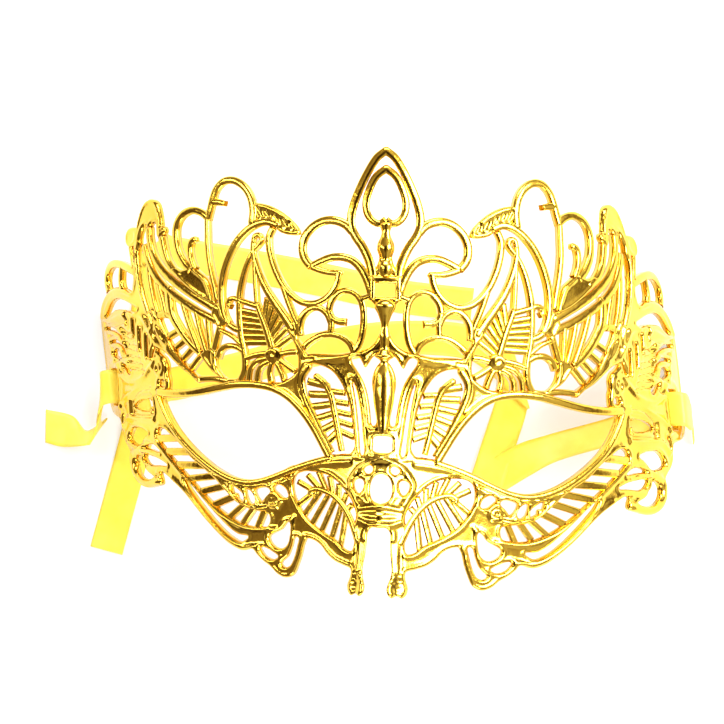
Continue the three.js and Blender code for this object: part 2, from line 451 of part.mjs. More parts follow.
function ribbonSlot() {
  const box = new THREE.BoxGeometry(SLOT.width, SLOT.height, 2 * CUT_REACH);
  box.translate(SLOT.u, SLOT.v, 0);
  return toSolid(box);
}

function mirrored(solid) {
  const geometry = toGeometry(solid);
  geometry.scale(-1, 1, 1);
  const order = geometry.index.array;
  for (let i = 0; i < order.length; i += 3) {
    [order[i], order[i + 1]] = [order[i + 1], order[i]];
  }
  return toSolid(geometry);
}

// The loops round the top of a flat solid, each thinned to the points that its shape needs.
function topLoops(solid) {
  const geometry = toGeometry(solid);
  const spots = geometry.attributes.position;
  const order = geometry.index.array;
  const next = new Map();
  for (let i = 0; i < order.length; i += 3) {
    const corners = [order[i], order[i + 1], order[i + 2]];
    if (corners.some((k) => spots.getZ(k) < PLATE_TOP - WELD)) continue;
    corners.forEach((from, k) => {
      const to = corners[(k + 1) % 3];
      if (!next.get(to)?.delete(from)) {
        if (!next.has(from)) next.set(from, new Set());
        next.get(from).add(to);
      }
    });
  }
  const loops = [];
  for (const [start, ends] of next) {
    while (ends.size > 0) {
      const loop = [];
      let at = start;
      do {
        loop.push(new THREE.Vector2(spots.getX(at), spots.getY(at)));
        const [to] = next.get(at);
        next.get(at).delete(to);
        at = to;
      } while (at !== start);
      loops.push(thinLoop(loop));
    }
  }
  return loops.filter((loop) => Math.abs(THREE.ShapeUtils.area(loop)) > SMALLEST_OPENING);
}

function thinLoop(loop) {
  const far = loop.reduce((best, p, i) => (p.distanceTo(loop[0]) > loop[best].distanceTo(loop[0]) ? i : best), 0);
  const front = thin(loop.slice(0, far + 1), LOOP_ERROR);
  const back = thin([...loop.slice(far), loop[0]], LOOP_ERROR);
  return [...front.slice(0, -1), ...back.slice(0, -1)];
}

// The flat sheet again, with every outline thinned.
function thinSheet(solid) {
  const loops = topLoops(solid);
  const outer = loops.filter((loop) => THREE.ShapeUtils.area(loop) > 0);
  const inner = loops.filter((loop) => THREE.ShapeUtils.area(loop) < 0);
  const filled = joinAll(outer.map((loop) => prism(loop, BACK, PLATE_TOP)));
  return filled.subtract(joinAll(inner.map((loop) => prism(loop, -CUT_REACH, CUT_REACH))));
}

// How far the middle of the sheet stands out from the cylinder at a place.
function bulge(u, v) {
  const ridge = Math.max(Math.exp(-Math.hypot(u, RIDGE_BLUNT) / RIDGE_REACH) - RIDGE_END, 0);
  const nose = THREE.MathUtils.clamp((NOSE_TOP - v) / NOSE_LENGTH, 0, 1) ** NOSE_SWELL;
  return (RIDGE_HEIGHT + NOSE_HEIGHT * nose) * ridge - CROWN_LEAN * Math.max(v - CROWN_START, 0) ** 2;
}

// The place in space of a point of the flat pattern.
function bent(u, v, height) {
  const angle = u / FACE_RADIUS;
  const reach = FACE_RADIUS + bulge(u, v) + height;
  const x = reach * Math.sin(angle);
  const z = reach * Math.cos(angle);
  return new THREE.Vector3(x - FLEX_TWIST * v * (FACE_RADIUS - z), v + x * (FLEX_LEAN + FLEX_FAN * v), z);
}

function facetPlaces() {
  const places = [...RIDGE_FACETS];
  while (places[places.length - 1] + 1.5 * FACET_WIDTH < LAST_FACET) {
    places.push(places[places.length - 1] + FACET_WIDTH);
  }
  places.push(LAST_FACET);
  return [...places.slice(1).map((u) => -u).reverse(), ...places];
}

// The point of an edge at a place along u, the same from either end.
function crossing(a, b, place) {
  const [low, high] = a.x < b.x ? [a, b] : [b, a];
  const spot = low.clone().lerp(high, (place - low.x) / (high.x - low.x));
  return spot.setX(place);
}

// Splits the faces that run across a place along u.
function splitFaces(faces, place) {
  return faces.flatMap((face) => {
    const sides = face.map((p) => (Math.abs(p.x - place) < WELD ? 0 : Math.sign(p.x - place)));
    if (!sides.includes(1) || !sides.includes(-1)) return [face];
    const lone = sides.findIndex((side, k) => side && !sides.some((other, j) => j !== k && other === side));
    const [tip, left, right] = [face[lone], face[(lone + 1) % 3], face[(lone + 2) % 3]];
    if (sides[(lone + 1) % 3] === 0) {
      const cut = crossing(tip, right, place);
      return [[tip, left, cut], [left, right, cut]];
    }
    if (sides[(lone + 2) % 3] === 0) {
      const cut = crossing(tip, left, place);
      return [[tip, cut, right], [cut, left, right]];
    }
    const near = crossing(tip, left, place);
    const far = crossing(tip, right, place);
    return [[tip, near, far], [near, left, right], [near, right, far]];
  });
}

// Bends the flat solid, straight across between the places of the facets.
function bendSolid(flat) {
  const places = facetPlaces();
  const geometry = toGeometry(flat).toNonIndexed();
  const spots = geometry.attributes.position;
  let faces = [];
  for (let k = 0; k < spots.count; k += 3) {
    faces.push([0, 1, 2].map((j) => new THREE.Vector3().fromBufferAttribute(spots, k + j)));
  }
  for (const place of places) faces = splitFaces(faces, place);
  const points = faces.flat().map((p) => {
    const next = Math.max(places.findIndex((place) => place >= p.x), 1);
    const [from, to] = [places[next - 1], places[next]];
    return bent(from, p.y, p.z).lerp(bent(to, p.y, p.z), (p.x - from) / (to - from));
  });
  const bentGeometry = new THREE.BufferGeometry().setFromPoints(points);
  return toSolid(bentGeometry);
}

// The mask, lowered until its flat temple edges stand on the floor.
function buildMask() {
  const half = halfPattern();
  const sheet = thinSheet(half.add(mirrored(half)));
  const extras = eyeRims().subtract(ribbonSlot());
  const cuts = ribbonSlot().add(mirrored(ribbonSlot()));
  const raised = sheet.add(extras).add(mirrored(extras)).subtract(cuts);
  const bentSheet = bendSolid(raised.add(turned(STEM)).add(turned(DROP)));
  const floor = bent(LAST_FACET - 1, 0, BACK).z + REST_CUT;
  const below = new THREE.BoxGeometry(FLOOR_BLOCK, FLOOR_BLOCK, FLOOR_BLOCK);
  below.translate(0, 0, floor - FLOOR_BLOCK / 2);
  const geometry = toGeometry(bentSheet.subtract(toSolid(below)));
  geometry.translate(0, 0, -floor);
  return geometry;
}

// The ribbons' routes: x, y and height of the middle, then how it goes on from there.
// flat lies across its course, fold turns over, across and lean hold the width at an angle.
const LEFT_ROUTE = [
  { at: [-106.2, 0.3, 0.5], across: 90 },
  { at: [-99.6, -1.2, 1.6], lean: -14 },
  { at: [-93, -3.2, 5.2], lean: -68 },
  { at: [-89.6, -0.8, 3.6], lean: -36, across: 62 },
  { at: [-88.9, 4.2, 5.4], lean: -28, across: 70 },
  { at: [-88.4, 8.8, 8.8], lean: -10, across: 84 },
  { at: [-87.8, 11.4, 11.2], across: 94 },
  { at: [-85.9, 12.1, 12], across: 96 },
  { at: [-82.8, 12.1, 10.8], across: 96 },
  { at: [-79.6, 11.9, 8.9], across: 96 },
  { at: [-77.8, 11, 5.4], across: 94 },
  { at: [-75, 8.6, 3.8], fold: -1 },
  { at: [-77.4, 1, 1.7] },
  { at: [-80.4, -10, 0.5] },
  { at: [-87.4, -37, 0.5] },
];
const RIGHT_ROUTE = [
  { at: [87.6, 1.5, 0.5], across: 96 },
  { at: [87.5, 3.6, 4.4], across: 96 },
  { at: [86.6, 5.8, 9], across: 96 },
  { at: [84.6, 6.9, 11.9], across: 96 },
  { at: [80.8, 6.9, 10.7], across: 96 },
  { at: [77.6, 6.4, 8.6], across: 94 },
  { at: [75, 4.8, 5] },
  { at: [68, 1.6, 3.6], lean: -35 },
  { at: [46, -5, 3.4], lean: -35 },
  { at: [38, -8.4, 1.6], lean: -12 },
  { at: [26.6, -15.6, 0.5], fold: 1 },
  { at: [29.6, -6, 1.2] },
  { at: [32.8, 4, 0.5] },
  { at: [36.4, 15.6, 0.5], fold: 1 },
  { at: [28, 23, 1.2] },
  { at: [20, 26.6, 0.5] },
  { at: [-4, 27.4, 0.5] },
  { at: [-26.3, 23.6, 0.5] },
  { at: [-48.8, 17.7, 0.5] },
  { at: [-66, 13.6, 0.5] },
  { at: [-74.4, 12, 0.5], fold: 1 },
  { at: [-75.2, 24, 1.2] },
  { at: [-75.6, 36, 0.5] },
  { at: [-74.6, 54, 0.5], fold: 1 },
  { at: [-62, 51.6, 1.2] },
  { at: [-48, 49.4, 0.5] },
  { at: [-23.3, 44.9, 0.5] },
  { at: [0.6, 40, 0.5] },
  { at: [22, 37.6, 0.5] },
];
const UP = new THREE.Vector3(0, 0, 1);

// The lines across a ribbon, each from one edge to the other, with round turns at its folds.
function ribbonLines(route) {
  const middles = route.map(({ at }) => new THREE.Vector3(...at));
  const lines = [];
  let side = 1;
  route.forEach(({ fold, across, lean }, i) => {
    const into = middles[i].clone().sub(middles[Math.max(i - 1, 0)]).setZ(0).normalize();
    const out = middles[Math.min(i + 1, middles.length - 1)].clone().sub(middles[i]).setZ(0).normalize();
    const ahead = into.clone().add(out).normalize();
    const way = fold ? ahead : ahead.clone().applyAxisAngle(UP, Math.PI / 2);
    if (across !== undefined) {
      const angle = THREE.MathUtils.degToRad(across);
      way.set(Math.cos(angle), Math.sin(angle), 0);
    }
    const left = (i ? into : out).clone().applyAxisAngle(UP, Math.PI / 2);
    const stretch = across === undefined ? 1 / Math.abs(way.dot(left)) : 1;
    if (way.dot(left) * side < 0) way.negate();
    const reach = way.multiplyScalar(stretch * RIBBON_WIDTH / 2);
    if (lean) {
      const tilt = THREE.MathUtils.degToRad(lean);
      reach.multiplyScalar(Math.cos(tilt)).setZ(Math.sin(tilt) * side * RIBBON_WIDTH / 2);
    }
    if (!fold) {
      lines.push([middles[i].clone().add(reach), middles[i].clone().sub(reach)]);
      return;
    }
    const outward = into.clone().sub(out).normalize();
    for (const turn of [0, 0.5, 1]) {
      const middle = middles[i].clone().addScaledVector(outward, Math.sin(Math.PI * turn) * FOLD_RADIUS);
      middle.z += fold * (1 - Math.cos(Math.PI * turn)) * FOLD_RADIUS;
      lines.push([middle.clone().add(reach), middle.clone().sub(reach)]);
    }
    side = -side;
  });
  return lines;
}

// A closed band of even thickness on the lines across a ribbon.
function buildRibbon(route) {
  const lines = ribbonLines(route);
  const corners = [];
  lines.forEach(([a, b], i) => {
    const [fromA, fromB] = lines[Math.max(i - 1, 0)];
    const [toA, toB] = lines[Math.min(i + 1, lines.length - 1)];
    const ahead = toA.clone().add(toB).sub(fromA).sub(fromB);
    const normal = ahead.cross(b.clone().sub(a)).normalize().multiplyScalar(RIBBON_THICKNESS / 2);
    corners.push(a.clone().sub(normal), b.clone().sub(normal), b.clone().add(normal), a.clone().add(normal));
  });
  const faces = [];
  for (let i = 0; i < lines.length - 1; i += 1) {
    for (let k = 0; k < 4; k += 1) {
      const [a, b] = [4 * i + k, 4 * i + (k + 1) % 4];
      faces.push(a, b, b + 4, a, b + 4, a + 4);
    }
  }
  const end = 4 * (lines.length - 1);
  faces.push(0, 2, 1, 0, 3, 2, end, end + 1, end + 2, end, end + 2, end + 3);
  const geometry = new THREE.BufferGeometry().setFromPoints(corners);
  geometry.setIndex(faces);
  return geometry;
}

const gilt = new THREE.MeshStandardMaterial({ color: 0xf2c230, roughness: 0.14, metalness: 1 });
const satin = new THREE.MeshStandardMaterial({ color: 0xfbe23a, roughness: 0.55, metalness: 0 });

const mask = new THREE.Mesh(buildMask(), gilt);
mask.name = 'mask';
const ribbonLeft = new THREE.Mesh(buildRibbon(LEFT_ROUTE), satin);
ribbonLeft.name = 'ribbon_left';
const ribbonRight = new THREE.Mesh(buildRibbon(RIGHT_ROUTE), satin);
ribbonRight.name = 'ribbon_right';

const group = new THREE.Group();
group.add(mask, ribbonLeft, ribbonRight);
// The origin is under the middle of the whole object.
const middle = new THREE.Box3().setFromObject(group).getCenter(new THREE.Vector3());
group.position.set(-middle.x, -middle.y, 0);
export default group;
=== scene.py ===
"""A gilt filigree eye mask that lies face up on a pale floor, with a satin ribbon at each temple.

Everything is in metres in the frame of the solids. The flat pattern of the mask is in
millimetres: u runs round the face from the middle line, v runs up from the eyes.
"""
import math

import bmesh
import bpy
import numpy as np
from mathutils import Matrix, Vector


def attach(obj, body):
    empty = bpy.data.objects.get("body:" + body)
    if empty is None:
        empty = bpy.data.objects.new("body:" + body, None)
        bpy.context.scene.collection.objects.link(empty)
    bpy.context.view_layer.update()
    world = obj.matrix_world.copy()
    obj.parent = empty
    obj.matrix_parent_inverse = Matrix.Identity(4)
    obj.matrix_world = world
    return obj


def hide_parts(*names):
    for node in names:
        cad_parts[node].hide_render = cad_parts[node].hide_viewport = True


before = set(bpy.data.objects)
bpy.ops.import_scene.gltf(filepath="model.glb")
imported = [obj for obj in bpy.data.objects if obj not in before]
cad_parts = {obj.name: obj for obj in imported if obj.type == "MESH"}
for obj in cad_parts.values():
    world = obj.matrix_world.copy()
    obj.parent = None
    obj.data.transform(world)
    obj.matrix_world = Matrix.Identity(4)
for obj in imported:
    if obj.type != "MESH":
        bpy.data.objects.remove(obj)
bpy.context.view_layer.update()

bl_info = {
    "name": "Filigree Masquerade Mask",
    "version": (1, 0, 0),
    "blender": (4, 5, 0),
    "location": "View3D > Sidebar > Mask",
    "description": "Builds a gilt filigree eye mask with its ribbons and a pale studio floor",
    "category": "Add Mesh",
}

MM = 0.001
# The face is bent round a cylinder of this radius, and the middle ridge grows into the nose.
FACE_RADIUS = 88.0
RIDGE_HEIGHT = 3.0
RIDGE_REACH = 14.0
RIDGE_BLUNT = 2.0
RIDGE_END = 0.003
NOSE_HEIGHT = 16.0
NOSE_TOP = 12.0
NOSE_LENGTH = 60.0
NOSE_SWELL = 1.3
CROWN_START = 20.0
CROWN_LEAN = 0.0012
# The mask lies a little flexed: its sides shift with their depth below the crown and with v,
# and one temple sits lower than the other.
FLEX_TWIST = 0.001884
FLEX_LEAN = -0.0359
FLEX_FAN = 0.00042
# The sheet's back and front, measured from the cylinder, and where it is cut off flat.
BACK = -1.0
PLATE_TOP = 0.9
REST_SPAN = 116.0
REST_CUT = 0.5
# The slot in each temple that takes a ribbon: left, right, bottom and top.
RIBBON_SLOT = (102.0, 108.0, 4.05, 14.95)

# Where the flat pattern's zero lies in the frame, whose origin is under the middle of the
# whole object, and how far the cylinder's middle is above or below the floor.
ORIGIN_X = 8.9557 * MM
ORIGIN_Y = -16.2675 * MM
FLOOR_DROP = (FACE_RADIUS + BACK) * math.cos(REST_SPAN / FACE_RADIUS) + REST_CUT

# Solid areas of the right half: a name, then the outline.
PLATES = [
    ("finial stem", [(-0.6, 58.2), (1.9, 57.6), (1.25, 55.6), (1.4, 54), (2.3, 52), (2.4, 50),
     (1.8, 48.3), (2.1, 46.6), (2.9, 44.8), (4.2, 43.2), (4.2, 41.3), (-0.6, 41.3)]),
    ("bridge", [(-0.6, 36.5), (4.3, 36.5), (3.1, 35), (2, 33.2), (1.2, 31), (1, 29), (1.4, 27),
     (2.2, 25.2), (3.2, 23.8), (4.6, 22.7), (6.5, 21.8), (9.5, 21.4), (13, 20.8), (17, 20.8),
     (21, 20.6), (24, 19.5), (23.5, 17.5), (20.5, 17.6), (17.3, 17.2), (14.4, 15.7), (12.2, 13),
     (10.6, 10), (9.4, 6.3), (8.6, 2.5), (8, -1.5), (7.6, -5), (9, -8), (5, -9), (-0.6, -8.5)]),
    ("brow", [(22.4, 21.8), (21.4, 19), (22.6, 16.2), (23.6, 13), (23.2, 10), (22, 7.5), (21, 4.6),
     (24.5, 6), (28, 8.6), (32, 10.4), (37, 11.3), (33.5, 12.2), (29.5, 12.4), (26.9, 13.6),
     (25, 15.4), (24.4, 18), (24.8, 21), (26.2, 24.6), (28, 27.4), (27.4, 29.4), (25.3, 29.6),
     (24.3, 27.6), (24.4, 25), (23.4, 23.4)]),
    ("shell boss", [(28.8, 19.6), (30.4, 17.4), (33, 17.2), (34.5, 19.2), (34, 21.6), (32, 22.8),
     (29.9, 21.9)]),
    ("crest", [(24.2, 54.5), (24.6, 56), (26.5, 58.2), (29.5, 60.6), (33, 62.5), (36.5, 63.5),
     (39.5, 63.4), (40, 60), (39.5, 57.8), (36, 58), (32.5, 57.6), (31, 55.4), (27.5, 54.2)]),
    ("leaf foot", [(45.4, 29), (47.2, 28.2), (50, 27.3), (51.4, 29.2), (52.5, 31.4), (51.6, 34),
     (50, 35.2), (48.6, 33.5), (47.6, 31)]),
    ("wing root", [(51.2, 21), (53, 21.6), (55, 20.9), (57, 19.6), (55.4, 17.8), (53.8, 15.9),
     (52, 14.4), (50, 13.4), (47.5, 12), (43, 11.8), (41.6, 13), (44.6, 12.9), (47, 12.8),
     (49.2, 14.2), (50.6, 16.4), (51, 19)]),
    ("wing web", [(51.4, 34.5), (52.5, 38.5), (54.2, 41.8), (57, 44), (59.5, 45.5), (61.8, 45),
     (64, 44.6), (67, 45.5), (68.5, 44.6), (66, 42.5), (63, 40.2), (59, 37.6), (55, 35.5)]),
    ("wing shoulder", [(56, 12), (59.5, 14.4), (63, 17), (66, 19.8), (68.6, 22.8), (71, 26),
     (73, 29.5), (74.8, 33), (77.4, 33.6), (79, 29.5), (77.6, 24.8), (76, 22), (72, 20.4), (68, 17.8),
     (64, 15.1), (60, 13), (57.5, 11.2)]),
    ("third lobe", [(72.4, 53.6), (72.4, 57), (73.4, 62), (75, 65), (78, 66.1), (81, 65), (83.4, 61.5),
     (84.8, 57.5), (85.4, 53), (84.2, 50.5), (83.2, 52), (82.8, 55), (81.2, 57.7), (79.6, 58.4),
     (78.6, 57), (77, 58.6), (75.3, 58.8), (74.8, 57), (74.4, 54.6)]),
    ("bud", [(70.7, 56.2), (71.5, 55), (73.2, 54.8), (73.6, 56.4), (72.6, 57.7), (71.3, 57.5)]),
    ("pad", [(84.6, 57.2), (87, 58), (89.6, 57.4), (91, 55.3), (90.6, 53), (89, 51.8), (86.6, 52),
     (84.8, 53.4)]),
    ("nose", [(-0.6, -7), (4, -7.5), (8, -7), (14.4, -7.6), (20, -9.3), (25, -11.3), (29, -13.2),
     (29.6, -15), (27, -16.5), (26.4, -20), (25.4, -24), (25.2, -28), (24, -31), (20.2, -31.4),
     (18, -31.9), (16, -33.2), (14.5, -34.9), (13, -36.2), (11.5, -37.1), (9, -38), (6.9, -38.8),
     (6.9, -41), (7.5, -43), (7.2, -45), (6.1, -46), (5, -45.2), (3.9, -46), (2.9, -44.9), (2.7, -43),
     (3.3, -40.8), (3.6, -38.5), (3.2, -35), (2.9, -31), (2.8, -28.4), (1.8, -27), (-0.6, -26.8)]),
    ("cheek and temple", [(24.5, -11.1), (30, -13.4), (35, -15.2), (40, -15.9), (45, -15.3),
     (50, -13.6), (55, -11), (60, -7.9), (65, -4.2), (69, -0.3), (72.3, 4), (73.6, 6.6), (70.6, 9),
     (70.2, 12), (70.7, 14), (70.6, 16.5), (71.6, 18.5), (74, 20), (75.6, 21.6), (76.6, 25),
     (76.2, 29), (79, 33.5), (81.3, 38), (83, 43), (83.8, 48), (84, 53), (85.6, 53), (86, 47.5),
     (86.6, 45), (86.2, 41), (87.5, 38.4), (93, 39.6), (98, 40.1), (103, 39.5), (107, 37.9),
     (111, 35.5), (114, 32.9), (115.9, 30), (116, 22), (116, 12), (115.7, 4.4), (112, 1.2), (107, 0.1),
     (103, -0.8), (102, -3), (101.5, -5), (99.6, -7.3), (96.8, -9.2), (95.2, -10.9), (95.6, -13.5),
     (94.9, -16.2), (92.6, -18.7), (89, -20.2), (85, -20.7), (80.5, -20.1), (76.4, -19), (76.5, -17.4),
     (77.2, -16), (75.4, -15.6), (71.5, -17.2), (68, -19), (65, -20.8), (60, -24.8), (55, -29),
     (50, -32.8), (46, -35.2), (42, -36.4), (38.3, -35.8), (36.8, -37.2), (34.5, -38.9), (32, -40.3),
     (30, -42), (27, -43), (24.5, -42), (23, -39), (22, -36), (21.4, -33.2), (20.6, -31), (22, -26),
     (24, -20)]),
]

# Openings through the solid areas: a name, then the outline.
OPENINGS = [
    ("column fork", [(0.6, 19.4), (0.8, 20.4), (2.1, 20.8), (3.2, 20), (4.2, 18.4), (5.2, 17.1),
     (6, 18.5), (6.9, 19.9), (8, 20.2), (9, 19.6), (8.9, 18.6), (7.6, 16.6), (6.2, 14.4), (5.2, 12.3),
     (4.4, 9.6), (3.8, 6.5), (3.4, 3.5), (3.1, 1.4), (2.5, 1), (1.9, 1.7), (1.9, 3.5), (2.1, 6),
     (2.6, 8.6), (3.1, 11), (3.3, 13), (3.1, 15), (2.4, 17), (1.5, 18.4)]),
    ("long slit", [(4.9, -6.6), (5.4, -2), (6, 3), (6.9, 8), (7.8, 11.4), (8.8, 13.8), (8.3, 11),
     (7.6, 7.4), (7, 3), (6.4, -2), (5.9, -6.6), (5.4, -7.4)]),
    ("square window", [(-1.2, -2.1), (2.4, -2.1), (2.5, -4), (2.4, -5.9), (-1.2, -5.9)]),
    ("nose oval", [(-1.2, -12.4), (1.5, -12.7), (2.6, -14.6), (2.8, -17), (2.2, -19.2), (0.9, -20.1),
     (-1.2, -20.2)]),
    ("arch upper", [(2.4, -10.4), (3.2, -10), (4.7, -11.2), (3.7, -12.3), (2.5, -11.7)]),
    ("arch lower", [(4.7, -14.4), (5.8, -13.8), (7.1, -14.6), (7, -16.3), (5.8, -17.8), (4.9, -16.8)]),
    ("nose leaf", [(6.3, -24), (7.6, -20.4), (9.6, -17.6), (12.2, -15), (15, -13.4), (18.5, -12.7),
     (22, -12.7), (24.4, -13.7), (25.2, -15.8), (25, -18.8), (24, -21), (22.8, -23), (20.5, -25.8),
     (18, -27.7), (14.5, -29.7), (11.5, -31.2), (8.6, -33.5), (7, -33.8), (6.4, -31.5), (7, -28)]),
    ("cheek ladder", [(77.2, -3.6), (75.3, -2.4), (73, -2.8), (70.8, -4), (65.6, -7.3), (61.2, -10.8),
     (55.6, -14.1), (51.5, -16.8), (48, -19.6), (43.6, -22.9), (40, -24.3), (36.3, -24.9),
     (32.8, -25.6), (33, -28.6), (36.4, -29.1), (40, -29), (45, -27.6), (50, -25.2), (55, -22.1),
     (60, -18.5), (63.9, -15.8), (69, -12.1), (73.6, -8.8), (77, -5.8)]),
    ("cheek leaf one", [(41.6, -20.6), (43.2, -19.2), (45.8, -18.1), (45.4, -20), (43.4, -21.6),
     (41.7, -22.2)]),
    ("cheek leaf two", [(38.8, -19.5), (40.8, -18.7), (40.8, -20.2), (39.7, -22.3), (38.2, -22.8),
     (37.5, -21.7)]),
    ("cheek leaf three", [(32.6, -18.9), (33.6, -18), (37.6, -18.9), (37.2, -20.2), (35.3, -22),
     (34.4, -20.8)]),
    ("cheek leaf four", [(26.9, -20.2), (27.3, -18.4), (28.8, -17.2), (30.6, -17), (31.4, -18),
     (30.2, -19.1), (28.4, -20.3)]),
    ("lower eyelet", [(26.2, -27.2), (27.2, -27.5), (28.6, -29.3), (32.7, -31.8), (32.3, -33.2),
     (30.5, -34.5), (28.4, -34.8), (26.8, -33.7), (26, -31)]),
    ("lobe slot", [(23.2, -31.4), (24.4, -31.4), (25.2, -34), (26.4, -36.8), (28.6, -39.1),
     (27.3, -40), (25.7, -39.5), (24.4, -37), (23.6, -34)]),
    ("little lobe", [(29.6, -37.2), (31.5, -36), (34, -35), (35.8, -35), (34.7, -36.7), (32.8, -37.8),
     (30.8, -38)]),
    ("edge slit", [(39.8, -32.3), (43.5, -31.8), (47.5, -29.7), (52, -26.3), (56.5, -22.6),
     (60.5, -19.3), (64.6, -16.8), (63.5, -18.6), (60, -22), (55.5, -25.9), (51, -29.5), (46.5, -32.4),
     (42.3, -33.8)]),
    ("side crescent", [(82.2, -4.3), (85, -3.2), (89, -2.7), (93, -2.9), (95.8, -4.6), (96.7, -6.3),
     (94, -7.5), (91, -7.9), (88.3, -7.8), (86, -6.4), (84, -5.2)]),
    ("side leaf one", [(76, -9.6), (78, -8.2), (81, -7.4), (84, -7.9), (85.8, -8.7), (82, -8.9),
     (78.6, -9.5)]),
    ("side leaf two", [(72.4, -13.5), (76, -12), (81, -11), (85, -10.7), (86.4, -11.1), (84.8, -12.9),
     (82, -13.7), (77, -13.6)]),
    ("side leaf three", [(80.8, -17.2), (84, -15.8), (86.8, -13.4), (88.4, -11.4), (90.8, -11.3),
     (92.8, -13), (92.3, -15.2), (90, -17.2), (86.5, -18.1), (83, -18)]),
    ("temple crescent", [(84.8, 33), (88, 34.4), (93, 35.8), (98, 36.4), (103, 35.6), (107, 33.7),
     (110.4, 31.2), (107.5, 31), (104, 32), (100, 33.1), (95, 33.2), (90, 32.7), (86.5, 32.1)]),
    ("temple moon", [(79.7, 5.7), (84, 6), (88, 5.3), (91.2, 3.8), (88, 2.8), (84, 2.6), (80.2, 2.8)]),
    ("temple leaf one", [(90.5, 14), (93, 15.6), (97.2, 16.8), (95, 14.6), (92.5, 13.5)]),
    ("temple leaf two", [(97.2, 19), (99.5, 20.8), (102.5, 21.2), (105.6, 19.9), (103, 18.5),
     (100, 18)]),
    ("temple window", [(71.7, 10.4), (72.4, 11.8), (74.4, 11.6), (74.6, 10.3), (73, 9.9)]),
]

# Slits with round ends: a name, a width, then the middle line.
SLITS = [
    ("head slit", 0.9, [(76.3, 21.4), (77, 20.2), (77.7, 18.4)]),
    ("temple slit one", 0.9, [(79.8, 18.6), (79.9, 22), (79.8, 25.2)]),
    ("temple slit two", 1.1, [(83.4, 21), (83.5, 24), (83.5, 27.3)]),
    ("temple slit three", 1.1, [(87.1, 25), (87.1, 27.5), (87.1, 30)]),
    ("temple slit four", 1, [(91.4, 28.8), (91.5, 30.3), (91.6, 31.6)]),
    ("moon slit", 0.9, [(78.4, 2.2), (78.8, 4), (79.1, 5.6)]),
    ("corner slit", 1.1, [(99, 1.4), (100, 0.4), (100.4, -1.7)]),
    ("upper vein slit", 0.9, [(95.6, 24.2), (100, 26.4), (104.5, 27.4), (111, 27.7)]),
    ("lower vein slit", 0.9, [(93.8, 19.8), (97.5, 22.5), (101.5, 23.6), (106, 23.3)]),
]

